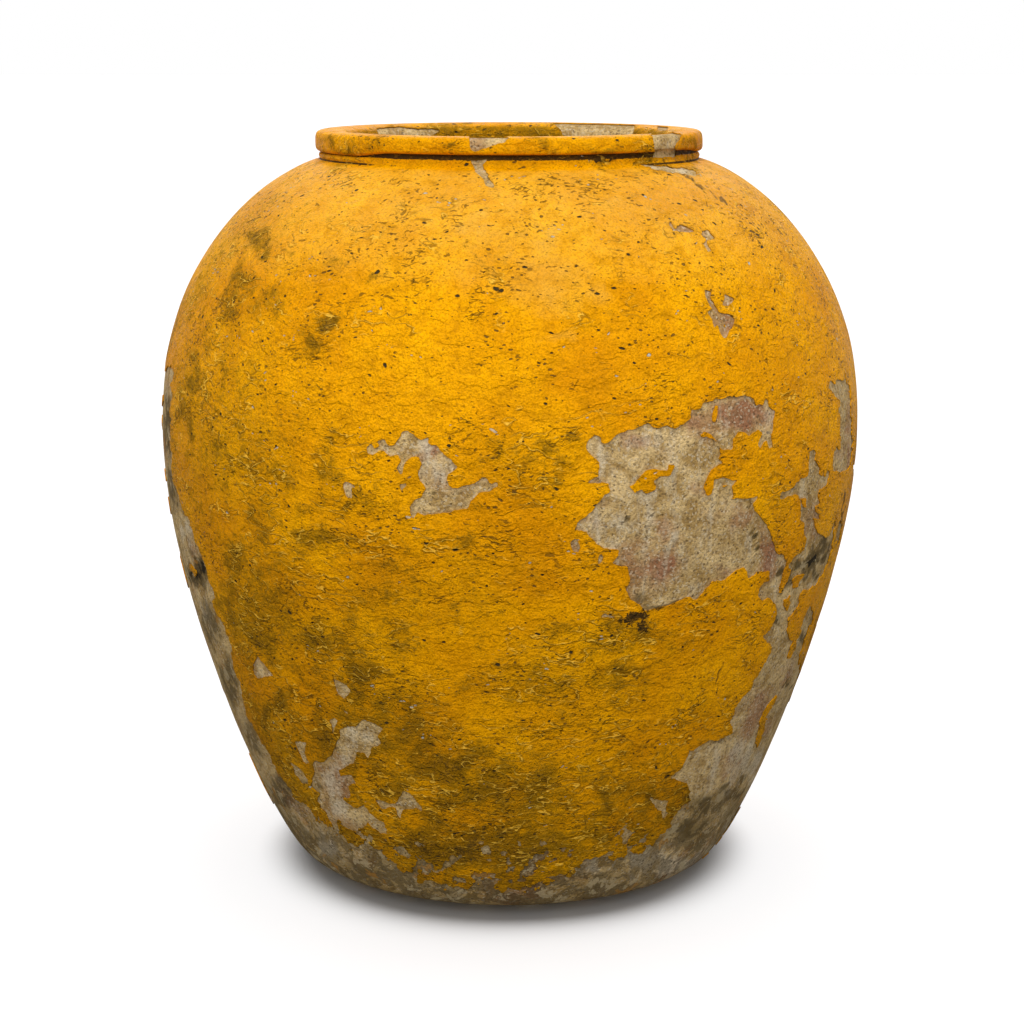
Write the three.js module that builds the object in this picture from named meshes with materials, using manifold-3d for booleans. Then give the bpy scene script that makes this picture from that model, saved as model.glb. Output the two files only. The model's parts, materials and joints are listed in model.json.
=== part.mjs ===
// A round-bellied clay planter built up in courses under a thick yellow coat that has flaked away in patches.
// Millimetres, +Z up, the middle of the base at the origin, the front of the photograph towards -Y.
import * as THREE from "three";
import { mergeVertices } from "three/addons/utils/BufferGeometryUtils.js";
import Module from "manifold-3d";

// Heights of what is stacked: the floor, five courses of wall, the bead and the rim roll
const FLOOR = 26;
const FOOT_COURSE = 84;
const LOWER_COURSE = 126;
const BELLY_COURSE = 126;
const SHOULDER_COURSE = 122;
const NECK_COURSE = 93.5;
const BEAD = 4.9;
const RIM_TALL = 17;

// Outside radii, coat included: the belly is widest where its course ends
const BELLY_RADIUS = 283;
const NECK_RADIUS = 150;
const FOOT_RADIUS = 176;
const FOOT_HEIGHT = 8;
const FOOT_ROUND = 26;

// How full the wall is: the reach of its curve at the foot, below and above the belly, and at the neck
const FOOT_FLARE = 25;
const FOOT_SLOPE = 25;
const FULL_BELOW = 132;
const FULL_ABOVE = 163;
const NECK_FLARE = 20;
const NECK_SLOPE = 5;

// Clay, coat and the joints between them
const WALL = 20;
const COLLAR = 22;
const DRAIN_RADIUS = 14;
const COAT = 1.6;
const SLIP = 0.3;
const TONGUE = 5;
const BARE_FOOT = 30;

// Rounds of the rim roll outside and inside, and how far its coat goes down inside the mouth
const RIM_OVERHANG = 5.5;
const ROLL_ROUND = 6.5;
const LIP_ROUND = 9;
const LIP_COAT_DROP = 6;
const SEGMENTS = 40;

// Bare patches: millimetres round the belly from the front (to the right +), and above the belly's line
const BARE_PATCHES = {
  front_right: [
    [54, 30], [60, 39], [100, 42], [124, 39], [148, 55], [174, 58], [214, 42], [210, 16],
    [190, 29], [168, 19], [149, 8], [172, -5], [196, -20], [229, -67], [221, -95], [194, -73],
    [148, -92], [100, -95], [88, -63], [47, -29], [69, -5],
  ],
  front_left: [
    [-103, 24], [-75, 39], [-58, 35], [-38, 16], [-42, 0], [-19, 8], [-10, 4], [-30, -14],
    [-69, -20], [-59, 1], [-63, 19], [-78, 8],
  ],
  right_strip: [[298, 50], [338, 54], [351, 0], [348, -18], [302, -12], [311, 32]],
  right_fall: [
    [263, 4], [292, -18], [279, -49], [330, -84], [280, -112], [276, -139], [305, -167],
    [278, -209], [297, -261], [214, -266], [174, -233], [206, -213], [253, -163], [230, -131],
    [236, -81], [262, -72], [228, -23], [258, -14],
  ],
  left_strip: [
    [-322, -57], [-281, -95], [-275, -147], [-291, -219], [-274, -268], [-310, -263], [-322, -192],
    [-312, -122], [-334, -77],
  ],
  lower_left: [
    [-213, -221], [-172, -228], [-149, -199], [-125, -186], [-108, -192], [-128, -220], [-158, -232],
    [-164, -265], [-138, -265], [-128, -290], [-200, -302], [-206, -274], [-232, -243],
  ],
  shoulder_nick: [[159, 177], [205, 171], [189, 158], [158, 172]],
  shoulder_flake: [[168, 131], [190, 99], [179, 98], [167, 119]],
  back_high: [[640, -62], [668, -10], [655, 48], [700, 70], [745, 43], [728, -10], [752, -44]],
  back_low: [[-720, -270], [-700, -202], [-652, -148], [-610, -166], [-590, -266], [-660, -288]],
};

// Bare chips on the rim: millimetres round as before, and below the top; the last is inside the far lip
const RIM_CHIPS = [
  [[-57, 4], [-52, -11], [-42, -12], [2, 4]],
  [[230, 4], [225, -17], [285, -18], [272, -10], [300, 4]],
];
const LIP_CHIP = [[760, 4], [772, -10], [838, -12], [852, 4]];

// Heights and radii that follow from the sizes above
const SKIN = COAT + SLIP;
const COURSES = [FLOOR, FOOT_COURSE, LOWER_COURSE, BELLY_COURSE, SHOULDER_COURSE, NECK_COURSE];
const ENDS = COURSES.map((_, i) => COURSES.slice(0, i + 1).reduce((sum, tall) => sum + tall));
const BELLY_HEIGHT = ENDS[3];
const NECK_HEIGHT = ENDS[5];
const RIM_BASE = NECK_HEIGHT + BEAD + 2 * SLIP;
const HEIGHT = RIM_BASE + RIM_TALL;
const COLLAR_OUT = NECK_RADIUS - SKIN;
const COLLAR_IN = COLLAR_OUT - COLLAR;
const point = (radius, height) => new THREE.Vector2(radius, height);

// The wall's outer face: one curve from the foot to the belly, one from the belly to the neck
function reach(from, length, degrees) {
  const turn = THREE.MathUtils.degToRad(degrees);
  return point(from.x + length * Math.cos(turn), from.y + length * Math.sin(turn));
}
const foot = point(FOOT_RADIUS, FOOT_HEIGHT);
const belly = point(BELLY_RADIUS, BELLY_HEIGHT);
const neck = point(NECK_RADIUS, NECK_HEIGHT);
const wallBelow = new THREE.CubicBezierCurve(
  foot, reach(foot, FOOT_FLARE, FOOT_SLOPE), reach(belly, FULL_BELOW, -90), belly);
const wallAbove = new THREE.CubicBezierCurve(
  belly, reach(belly, FULL_ABOVE, 90), reach(neck, NECK_FLARE, -NECK_SLOPE), neck);

// The wall's point at a height, set in by a depth and slid up along the wall by a rise
function wall(height, depth, rise = 0) {
  const curve = height < BELLY_HEIGHT ? wallBelow : wallAbove;
  let low = 0;
  let high = 1;
  for (let i = 0; i < 40; i++) {
    const middle = (low + high) / 2;
    if (curve.getPoint(middle).y < height) low = middle;
    else high = middle;
  }
  const along = curve.getTangent(low);
  const out = point(along.y, -along.x);
  return curve.getPoint(low).addScaledVector(out, -depth).addScaledVector(along, rise);
}

// A joint across the wall, from outside to inside, with a V that keys one course into the next
function seam(height, rise) {
  return [
    wall(height, SKIN, rise),
    wall(height, SKIN + WALL / 2, rise - TONGUE),
    wall(height, SKIN + WALL, rise),
  ];
}

// Heights between two ends; the coat and the clay below it share them, so their facets run side by side
function ladder(from, to) {
  return [0, 1, 2, 3, 4].map((step) => from + ((to - from) * step) / 4);
}

// Points of a round, from one angle to another
function arc(radius, height, round, from, to, steps) {
  const points = [];
  for (let i = 0; i <= steps; i++) {
    points.push(reach(point(radius, height), round, from + ((to - from) * i) / steps));
  }
  return points;
}

// A closed outline turned round the axis, whichever way it was drawn
function turned(outline) {
  const ring = THREE.ShapeUtils.area(outline) > 0 ? outline : [...outline].reverse();
  const geometry = new THREE.LatheGeometry([...ring, ring[0]], SEGMENTS);
  geometry.rotateX(Math.PI / 2);
  geometry.deleteAttribute("normal");
  geometry.deleteAttribute("uv");
  return mergeVertices(geometry, 1e-4);
}

// A patch outline made into a block that stands across the wall at a level, bent round the axis
function block(outline, level, inner, outer) {
  const shape = new THREE.Shape(outline.map(([round, up]) => point(round, level + up)));
  const geometry = new THREE.ExtrudeGeometry(shape, { depth: outer - inner, bevelEnabled: false });
  const at = geometry.getAttribute("position");
  for (let i = 0; i < at.count; i++) {
    const turn = at.getX(i) / BELLY_RADIUS;
    const radius = inner + at.getZ(i);
    at.setXYZ(i, radius * Math.sin(turn), -radius * Math.cos(turn), at.getY(i));
  }
  geometry.deleteAttribute("normal");
  geometry.deleteAttribute("uv");
  return mergeVertices(geometry, 1e-4);
}

// Cutting with the solid library
const wasm = await Module();
wasm.setup();
function solid(geometry) {
  return new wasm.Manifold(new wasm.Mesh({
    numProp: 3,
    vertProperties: new Float32Array(geometry.getAttribute("position").array),
    triVerts: new Uint32Array(geometry.index.array),
  }));
}
function cut(geometry, blocks) {
  let left = solid(geometry);
  for (const one of blocks) left = left.subtract(solid(one));
  const mesh = left.getMesh();
  const result = new THREE.BufferGeometry();
  result.setAttribute("position", new THREE.BufferAttribute(new Float32Array(mesh.vertProperties), 3));
  result.setIndex(new THREE.BufferAttribute(new Uint32Array(mesh.triVerts), 1));
  return result;
}

// Materials and the group
const clay = new THREE.MeshStandardMaterial({ color: 0x8f8371, roughness: 0.95 });
const coat = new THREE.MeshStandardMaterial({ color: 0xd9960f, roughness: 0.55 });
const group = new THREE.Group();
function add(name, geometry, material) {
  const flat = geometry.toNonIndexed();
  flat.computeVertexNormals();
  const mesh = new THREE.Mesh(flat, material);
  mesh.name = name;
  group.add(mesh);
}

// Floor: a thick disc with a rounded foot, an upturned edge that carries the wall, and a drain hole
const footTop = wall(FOOT_HEIGHT, SKIN);
const rest = point(FOOT_RADIUS - FOOT_ROUND, 0);
const footRound = new THREE.QuadraticBezierCurve(rest, point((rest.x + footTop.x) / 2, 0), footTop);
const floorEdge = wall(FLOOR, SKIN + WALL);
add("floor_slab", turned([
  point(DRAIN_RADIUS, 0),
  ...footRound.getPoints(3),
  wall((FOOT_HEIGHT + FLOOR) / 2, SKIN),
  ...seam(FLOOR, 0),
  point(floorEdge.x - WALL / 2, FLOOR),
  point(DRAIN_RADIUS, FLOOR),
]), clay);

// Four courses of wall, each keyed into the one below
function course(from, to) {
  return turned([
    ...ladder(from, to).slice(1, -1).map((height) => wall(height, SKIN)),
    ...seam(to, 0),
    wall((from + to) / 2, SKIN + WALL),
    ...seam(from, SLIP).reverse(),
  ]);
}
add("foot_course", course(ENDS[0], ENDS[1]), clay);
add("lower_course", course(ENDS[1], ENDS[2]), clay);
add("belly_course", course(ENDS[2], ENDS[3]), clay);
add("shoulder_course", course(ENDS[3], ENDS[4]), clay);

// Neck: the last course, turned up into a short collar
add("neck_course", turned([
  ...ladder(ENDS[4], NECK_HEIGHT).slice(1).map((height) => wall(height, SKIN)),
  point(COLLAR_OUT, wall(NECK_HEIGHT, SKIN).y),
  point(COLLAR_OUT, RIM_BASE),
  point((COLLAR_OUT + COLLAR_IN) / 2, RIM_BASE - TONGUE),
  point(COLLAR_IN, RIM_BASE),
  point(COLLAR_IN, NECK_HEIGHT - WALL / 2),
  wall(NECK_HEIGHT, SKIN + WALL),
  wall((ENDS[4] + NECK_HEIGHT) / 2, SKIN + WALL),
  ...seam(ENDS[4], SLIP).reverse(),
]), clay);

// Rim roll: keyed on the collar, round outside, a wider round inside
const rollOut = NECK_RADIUS + RIM_OVERHANG - SKIN;
const rollTop = HEIGHT - SKIN;
const rollLow = [rollOut - ROLL_ROUND, RIM_BASE + SLIP + ROLL_ROUND];
const rollHigh = [rollOut - ROLL_ROUND, rollTop - ROLL_ROUND];
const lip = [COLLAR_IN + LIP_ROUND, rollTop - LIP_ROUND];
add("rim_band", turned([
  point(COLLAR_OUT, RIM_BASE + SLIP),
  ...arc(...rollLow, ROLL_ROUND, -45, 0, 2),
  ...arc(...rollHigh, ROLL_ROUND, 0, 90, 3),
  ...arc(...lip, LIP_ROUND, 90, 180, 3),
  point(COLLAR_IN, RIM_BASE + SLIP),
  point((COLLAR_OUT + COLLAR_IN) / 2, RIM_BASE + SLIP - TONGUE),
]), clay);

// Bead: a thin cord of clay in the angle between the collar and the roll
const cord = [COLLAR_OUT + SLIP + BEAD * 0.4, NECK_HEIGHT + SLIP + BEAD / 2];
add("rim_bead", turned([
  point(COLLAR_OUT + SLIP, NECK_HEIGHT + SLIP),
  ...arc(...cord, BEAD / 2, -90, 90, 4),
  point(COLLAR_OUT + SLIP, NECK_HEIGHT + SLIP + BEAD),
]), clay);

// Coat on the body: a shell over all the courses, flaked away in patches
const stations = [BARE_FOOT];
ENDS.slice(0, -1).forEach((from, i) => {
  for (const height of ladder(from, ENDS[i + 1])) {
    if (height > stations.at(-1)) stations.push(height);
  }
});
const shell = turned([
  ...stations.map((height) => wall(height, 0)),
  ...[...stations].reverse().map((height) => wall(height, COAT)),
]);
const patches = Object.values(BARE_PATCHES).map(
  (outline) => block(outline, BELLY_HEIGHT, BELLY_RADIUS / 2, BELLY_RADIUS * 1.3));
add("body_coat", cut(shell, patches), coat);

// Coat on the rim: from the bead over the roll and down inside the mouth, chipped in three places
function rimFace(depth) {
  return [
    ...arc(...cord, BEAD / 2 + depth, -25, 25, 2),
    ...arc(...rollLow, ROLL_ROUND + depth, -45, 0, 2),
    ...arc(...rollHigh, ROLL_ROUND + depth, 0, 90, 3),
    ...arc(...lip, LIP_ROUND + depth, 90, 180, 3),
    point(COLLAR_IN - depth, RIM_BASE - LIP_COAT_DROP),
  ];
}
const rimShell = turned([...rimFace(SKIN), ...rimFace(SLIP).reverse()]);
const crest = (COLLAR_IN + rollOut) / 2;
const chips = RIM_CHIPS.map((outline) => block(outline, HEIGHT, crest, rollOut * 1.3));
chips.push(block(LIP_CHIP, HEIGHT, COLLAR_IN / 2, crest));
add("rim_coat", cut(rimShell, chips), coat);

export default group;
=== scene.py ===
import json
import math

import bpy
import numpy as np
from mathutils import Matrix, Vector, noise

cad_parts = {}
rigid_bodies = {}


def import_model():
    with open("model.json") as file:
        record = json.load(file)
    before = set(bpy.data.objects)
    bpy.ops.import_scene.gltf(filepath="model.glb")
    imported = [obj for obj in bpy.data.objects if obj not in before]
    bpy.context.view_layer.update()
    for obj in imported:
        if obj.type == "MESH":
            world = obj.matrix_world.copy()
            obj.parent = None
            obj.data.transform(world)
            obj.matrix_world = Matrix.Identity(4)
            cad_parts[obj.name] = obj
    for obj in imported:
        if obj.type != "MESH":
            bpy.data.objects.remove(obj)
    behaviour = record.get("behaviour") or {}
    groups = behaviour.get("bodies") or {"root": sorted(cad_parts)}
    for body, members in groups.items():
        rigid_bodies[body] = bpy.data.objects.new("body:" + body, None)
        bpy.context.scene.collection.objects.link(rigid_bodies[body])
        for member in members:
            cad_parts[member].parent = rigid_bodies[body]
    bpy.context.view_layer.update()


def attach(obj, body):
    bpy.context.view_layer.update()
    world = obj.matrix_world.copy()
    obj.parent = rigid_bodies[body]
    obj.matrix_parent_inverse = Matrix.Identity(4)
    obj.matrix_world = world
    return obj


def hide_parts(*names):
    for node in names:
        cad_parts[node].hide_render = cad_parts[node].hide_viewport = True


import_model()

# The eye: a camera 1.8 m in front of the jar and a little above its rim, tipped down by 12 degrees.
# Sections below ask it where a spot of the wall is seen, because the flaked outlines were read
# off the photograph, in pixels of its 1024 by 1024 frame.
EYE = np.array((0.0024, -1.8, 0.671))
AIM = np.array((0.0024, 0.0, 0.285))
LENS_MM = 77.66
SENSOR_MM = 36.0
PICTURE_SIDE = 1024
bpy.ops.object.select_all(action="DESELECT")
bpy.ops.object.camera_add(location=EYE)
eye = bpy.context.object
eye.name = "eye"
eye.data.lens = LENS_MM
eye.data.sensor_width = SENSOR_MM
eye.rotation_euler = Vector(AIM - EYE).to_track_quat("-Z", "Y").to_euler()
bpy.context.scene.camera = eye


def seen_at(spots):
    """Pixels, to the right and down, at which spots of the jar are seen."""
    forward = (AIM - EYE) / np.linalg.norm(AIM - EYE)
    right = np.array((1.0, 0.0, 0.0))
    up = np.cross(right, forward)
    away = spots - EYE
    scale = PICTURE_SIDE * LENS_MM / SENSOR_MM / (away @ forward)
    middle = PICTURE_SIDE / 2
    return np.column_stack((middle + scale * (away @ right), middle - scale * (away @ up)))


# The floor slab: a thick disc of the same coarse clay as the wall, pressed flat on a board, with a
# rounded foot, an edge that carries the first course, and a drain hole pushed through it.
MM = 0.001
SKIN = 0.95 * MM
WALL = 20 * MM
FLOOR = 26 * MM
DRAIN_RADIUS = 14 * MM
REST_RADIUS = 150 * MM
BELLY_RADIUS = 283 * MM
BELLY_HEIGHT = 362 * MM
NECK_RADIUS = 150 * MM
NECK_HEIGHT = 577.5 * MM
FOOT = np.array((176, 8)) * MM
BELLY = np.array((BELLY_RADIUS, BELLY_HEIGHT))
NECK = np.array((NECK_RADIUS, NECK_HEIGHT))
FOOT_REACH = np.array((22.66, 10.57)) * MM
BELLY_REACH_DOWN = np.array((0, -132)) * MM
BELLY_REACH_UP = np.array((0, 163)) * MM
NECK_REACH = np.array((19.92, -1.74)) * MM
CURVE_POINTS = 900
MERGE_GAP = 0.02 * MM


def bow(start, start_reach, end_reach, end, count):
    """Points of a curve between two spots of the wall, each with its own reach."""
    t = np.linspace(0, 1, count)[:, None]
    near = start + start_reach
    far = end + end_reach
    return (1 - t)**3 * start + 3 * (1 - t)**2 * t * near + 3 * (1 - t) * t**2 * far + t**3 * end


wall_below = bow(FOOT, FOOT_REACH, BELLY_REACH_DOWN, BELLY, CURVE_POINTS)
wall_above = bow(BELLY, BELLY_REACH_UP, NECK_REACH, NECK, CURVE_POINTS)
wall_spots = np.vstack((wall_below, wall_above[1:]))
wall_run = np.concatenate(((0,), np.cumsum(np.hypot(*np.diff(wall_spots, axis=0).T))))
wall_lean = np.gradient(wall_spots, wall_run, axis=0)


def wall_line(low, high, depth, spacing):
    """Radius and height of the wall's outer face between two heights, set in by a depth."""
    start, end = np.interp((low, high), wall_spots[:, 1], wall_run)
    run = np.linspace(start, end, max(2, round((end - start) / spacing) + 1))
    radius = np.interp(run, wall_run, wall_spots[:, 0] - depth * wall_lean[:, 1])
    height = np.interp(run, wall_run, wall_spots[:, 1] + depth * wall_lean[:, 0])
    return np.column_stack((radius, height))


def spots_of(piece):
    """Where the vertices of a piece are."""
    spots = np.empty(len(piece.data.vertices) * 3)
    piece.data.vertices.foreach_get("co", spots)
    return spots.reshape(-1, 3)


def move_to(piece, spots):
    """Puts the vertices of a piece at these spots."""
    piece.data.vertices.foreach_set("co", np.asarray(spots, float).ravel())
    piece.data.update()


def turn_on_wheel(name, outline, steps):
    """A closed outline of radius and height, turned once round the jar's axis."""
    bpy.ops.object.select_all(action="DESELECT")
    bpy.ops.mesh.primitive_circle_add(vertices=len(outline), radius=BELLY_RADIUS)
    piece = bpy.context.object
    piece.name = name
    piece.data.name = name
    move_to(piece, np.column_stack((outline[:, 0], np.zeros(len(outline)), outline[:, 1])))
    bpy.ops.object.mode_set(mode="EDIT")
    bpy.ops.mesh.select_all(action="SELECT")
    bpy.ops.mesh.spin(steps=steps, angle=math.tau, center=(0, 0, 0), axis=(0, 0, 1))
    bpy.ops.mesh.select_all(action="SELECT")
    bpy.ops.mesh.remove_doubles(threshold=MERGE_GAP)
    bpy.ops.mesh.normals_make_consistent(inside=False)
    bpy.ops.object.mode_set(mode="OBJECT")
    return piece


LEAN_HEIGHTS = np.array((0, 60, 120, 200, 300, 440, 520, 600)) * MM
LEAN = np.array((-0.3, -1.0, -1.2, -0.9, -0.2, 1.2, 0.6, 0.0)) * MM
WIDE_SWELL = 1.1 * MM
WIDE_SWELL_SIZE = 110 * MM
CLOSE_SWELL = 0.3 * MM
CLOSE_SWELL_SIZE = 32 * MM
CLOSE_SWELL_SHIFT = Vector((3.1, 7.7, 1.3))
FULLNESS = 1.3 * MM
FULL_BELOW = 500 * MM
FULL_FADE = 100 * MM


def swell(spots):
    """Metres by which hand work has left the wall uneven at each spot."""
    wide = [noise.noise(Vector(spot) / WIDE_SWELL_SIZE) for spot in spots]
    close = [noise.noise(Vector(spot) / CLOSE_SWELL_SIZE + CLOSE_SWELL_SHIFT) for spot in spots]
    return np.array(wide) * WIDE_SWELL + np.array(close) * CLOSE_SWELL


def push_out(piece, amount):
    """Moves each vertex of a piece outwards by its own amount, and fills and leans it as the whole jar."""
    spots = spots_of(piece)
    radius = np.hypot(spots[:, 0], spots[:, 1])
    full = FULLNESS * np.clip((FULL_BELOW - spots[:, 2]) / FULL_FADE, 0, 1)
    full *= np.clip(radius / REST_RADIUS - 0.5, 0, 1)
    spots[:, :2] *= (1 + (amount + full) / np.maximum(radius, MM))[:, None]
    spots[:, 0] += np.interp(spots[:, 2], LEAN_HEIGHTS, LEAN)
    move_to(piece, spots)


def mark(piece, name, values):
    """Writes one number for each vertex, for the material to read."""
    layer = piece.data.attributes.new(name, "FLOAT", "POINT")
    layer.data.foreach_set("value", np.asarray(values, np.float32))


def srgb(hex_colour):
    """A hex colour as the linear values that the shader takes."""
    parts = [int(hex_colour[i:i + 2], 16) / 255 for i in (1, 3, 5)]
    return [p / 12.92 if p <= 0.04045 else ((p + 0.055) / 1.055)**2.4 for p in parts] + [1]


def add_node(material, kind, inputs=None, **settings):
    """A new node of a material, with its settings, and its inputs linked or set."""
    made = material.node_tree.nodes.new(kind)
    for key, value in settings.items():
        setattr(made, key, value)
    for key, value in (inputs or {}).items():
        if isinstance(value, bpy.types.NodeSocket):
            material.node_tree.links.new(value, made.inputs[key])
        else:
            made.inputs[key].default_value = value
    return made


# Fired coarse earthenware: a dry, dull buff grey body, full of 1 to 3 mm grog that shows as pale and
# dark grains, with pinkish flushes where the fire reached it and pale lime stains.
clay = bpy.data.materials.new("fired_coarse_earthenware")
clay.use_nodes = True
place = add_node(clay, "ShaderNodeTexCoord").outputs["Object"]
slant = add_node(clay, "ShaderNodeMapping",
                 {"Vector": place, "Rotation": (0.3, 0.5, 0.2), "Scale": (2.2, 1.0, 0.6)}).outputs["Vector"]
dirt_here, flush_here, lime_here = (
    add_node(clay, "ShaderNodeAttribute", attribute_name=name).outputs["Fac"]
    for name in ("grime", "flush", "lime"))

# Each pattern of the clay: what it is laid on, the size of its largest marks, detail, roughness, twist.
flush, cloud, grog, lime = (
    add_node(clay, "ShaderNodeTexNoise",
             {"Vector": laid_on, "Scale": 1 / size, "Detail": detail, "Roughness": coarse,
              "Distortion": twist})
    for laid_on, size, detail, coarse, twist in (
        (place, 55 * MM, 4.0, 0.6, 0.0),
        (place, 18 * MM, 6.0, 0.6, 0.8),
        (place, 2.4 * MM, 3.0, 0.7, 0.0),
        (slant, 30 * MM, 4.0, 0.65, 0.0)))
grains = add_node(clay, "ShaderNodeTexVoronoi", {"Vector": place, "Scale": 1 / (1.5 * MM)})
grain_tint = add_node(clay, "ShaderNodeSeparateColor", {"Color": grains.outputs["Color"]})
flush_sum = add_node(clay, "ShaderNodeMath", {0: flush_here, 1: 0.3, 2: flush.outputs["Fac"]},
                     operation="MULTIPLY_ADD").outputs["Value"]
lime_sum = add_node(clay, "ShaderNodeMath", {0: lime_here, 1: 0.25, 2: lime.outputs["Fac"]},
                    operation="MULTIPLY_ADD").outputs["Value"]
dirt_sum = dirt_here
for part, weight in ((lime_here, -0.7), (cloud.outputs["Fac"], 1.2), (grog.outputs["Fac"], 0.8)):
    dirt_sum = add_node(clay, "ShaderNodeMath", {0: part, 1: weight, 2: dirt_sum},
                        operation="MULTIPLY_ADD").outputs["Value"]

# Scales of old mud and paint that cling to dirty clay, torn along their edges.
torn = place
for pattern, reach in ((grog, 6 * MM), (cloud, 50 * MM)):
    torn = add_node(clay, "ShaderNodeVectorMath",
                    {0: pattern.outputs["Color"], 1: (reach, reach, reach), 2: torn},
                    operation="MULTIPLY_ADD").outputs["Vector"]
flakes = add_node(clay, "ShaderNodeTexVoronoi", {"Vector": torn, "Scale": 1 / (14 * MM)})
flake_tint = add_node(clay, "ShaderNodeSeparateColor", {"Color": flakes.outputs["Color"]})
flake_where = add_node(clay, "ShaderNodeMapRange",
                       {"Value": dirt_here, "From Min": 0.35, "From Max": 0.6}).outputs["Result"]
flake_round = add_node(clay, "ShaderNodeMapRange",
                       {"Value": flakes.outputs["Distance"], "From Min": 0.5, "From Max": 0.42})
flake_here = add_node(clay, "ShaderNodeMath", {0: flake_where, 1: flake_round.outputs["Result"]},
                      operation="MULTIPLY").outputs["Value"]
rim_most = add_node(clay, "ShaderNodeMath", {0: flake_where, 1: 0.5}, operation="MULTIPLY").outputs["Value"]
pale_flake, rust_flake = (
    add_node(clay, "ShaderNodeMath", {0: flake_tint.outputs[channel], 1: least}, operation="GREATER_THAN")
    for channel, least in (("Red", 0.8), ("Green", 0.92)))
flake_most = add_node(clay, "ShaderNodeMath", {0: flake_here, 1: 0.65},
                      operation="MULTIPLY").outputs["Value"]

# The clay's layers, from the body up: a value, where it starts to show and is full, how much it covers
# at most, and its colour. They are fire flush, lime, hollows, pale and dark grains, dirt, char, the
# shade round the scales, pale scales and rust brown ones.
cloud_share = add_node(clay, "ShaderNodeMapRange",
                       {"Value": cloud.outputs["Fac"], "From Min": 0.4, "From Max": 0.6})
body = add_node(clay, "ShaderNodeMix",
                {"Factor": cloud_share.outputs["Result"], 6: srgb("#A8874F"), 7: srgb("#D8B981")},
                data_type="RGBA").outputs[2]
for value, shows, full, most, colour in (
        (flush_sum, 0.54, 0.76, 0.85, "#976348"),
        (lime_sum, 0.58, 0.74, 0.6, "#D5C6A9"),
        (grog.outputs["Fac"], 0.52, 0.36, 0.55, "#6E593E"),
        (grain_tint.outputs["Red"], 0.76, 1.0, 0.5, "#D6C8AC"),
        (grain_tint.outputs["Green"], 0.86, 1.0, 0.65, "#4A3C2A"),
        (dirt_sum, 1.34, 1.84, 0.75, "#66522A"),
        (dirt_sum, 2.1, 2.35, 0.95, "#1D1810"),
        (flakes.outputs["Distance"], 0.38, 0.5, rim_most, "#2E2614"),
        (pale_flake.outputs["Value"], 0.0, 1.0, flake_most, "#AE9C78"),
        (rust_flake.outputs["Value"], 0.0, 1.0, flake_most, "#9C681E")):
    share = add_node(clay, "ShaderNodeMapRange",
                     {"Value": value, "From Min": shows, "From Max": full, "To Max": most})
    body = add_node(clay, "ShaderNodeMix",
                    {"Factor": share.outputs["Result"], 6: body, 7: srgb(colour)},
                    data_type="RGBA").outputs[2]
relief = add_node(clay, "ShaderNodeMath",
                  {0: cloud.outputs["Fac"], 1: 1.6, 2: grog.outputs["Fac"]}, operation="MULTIPLY_ADD")
gritty = add_node(clay, "ShaderNodeBump",
                  {"Height": relief.outputs["Value"], "Strength": 1.0, "Distance": 1.6 * MM})
clay_shader = clay.node_tree.nodes["Principled BSDF"]
clay_shader.inputs["Roughness"].default_value = 0.92
clay_shader.inputs["Specular IOR Level"].default_value = 0.08
clay.node_tree.links.new(body, clay_shader.inputs["Base Color"])
clay.node_tree.links.new(gritty.outputs["Normal"], clay_shader.inputs["Normal"])

# Marks on the bare clay, read off the photograph as soft dabs: middle across and down in pixels, half
# width, half height, and how strong.
CLAY_GRIME_DABS = (
    (168, 425, 8, 44, 1.0), (172, 490, 9, 34, 0.9), (203, 570, 12, 14, 1.6), (194, 548, 7, 10, 0.6),
    (212, 625, 18, 36, 0.75), (232, 680, 18, 44, 0.7), (255, 740, 22, 40, 0.6), (285, 795, 30, 34, 0.75),
    (305, 790, 18, 12, 1.1), (330, 848, 46, 18, 0.7), (370, 868, 60, 18, 0.75), (440, 890, 90, 14, 0.7),
    (560, 890, 90, 12, 0.65), (812, 560, 6, 14, 1.8), (829, 564, 4, 9, 1.5), (822, 545, 12, 12, 0.9),
    (800, 568, 9, 9, 1.0), (836, 520, 6, 26, 0.6), (785, 578, 4, 9, 1.3), (774, 616, 5, 9, 1.1),
    (806, 640, 5, 14, 0.8), (785, 684, 4, 4, 1.2), (742, 776, 6, 5, 1.2), (706, 804, 36, 13, 0.8),
    (690, 828, 34, 20, 0.85), (735, 792, 18, 12, 0.85), (720, 740, 8, 5, 1.1), (640, 874, 50, 14, 0.5),
    (665, 606, 30, 4, 1.1), (690, 566, 10, 9, 0.5), (633, 510, 4, 3, 1.4), (621, 515, 3, 3, 1.4),
    (751, 536, 4, 3, 1.6), (761, 543, 3, 3, 1.2), (736, 412, 26, 12, 0.45), (640, 600, 14, 9, 0.6),
    (460, 505, 16, 8, 0.45), (480, 488, 12, 5, 0.5), (432, 490, 4, 3, 1.3),
)
CLAY_FLUSH_DABS = (
    (628, 440, 18, 11, 1.0), (744, 415, 28, 18, 1.6), (662, 565, 12, 14, 0.9), (720, 572, 13, 8, 0.9),
    (768, 550, 12, 24, 1.2), (590, 520, 13, 7, 0.9), (430, 450, 11, 11, 1.0), (395, 450, 15, 9, 0.7),
    (700, 490, 15, 11, 0.5), (665, 525, 9, 18, 0.7), (842, 430, 6, 34, 0.7), (745, 515, 12, 14, 0.7),
    (838, 455, 8, 12, 1.1), (795, 700, 10, 40, 0.7), (690, 420, 20, 14, 0.6), (640, 470, 12, 10, 0.5),
)
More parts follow.
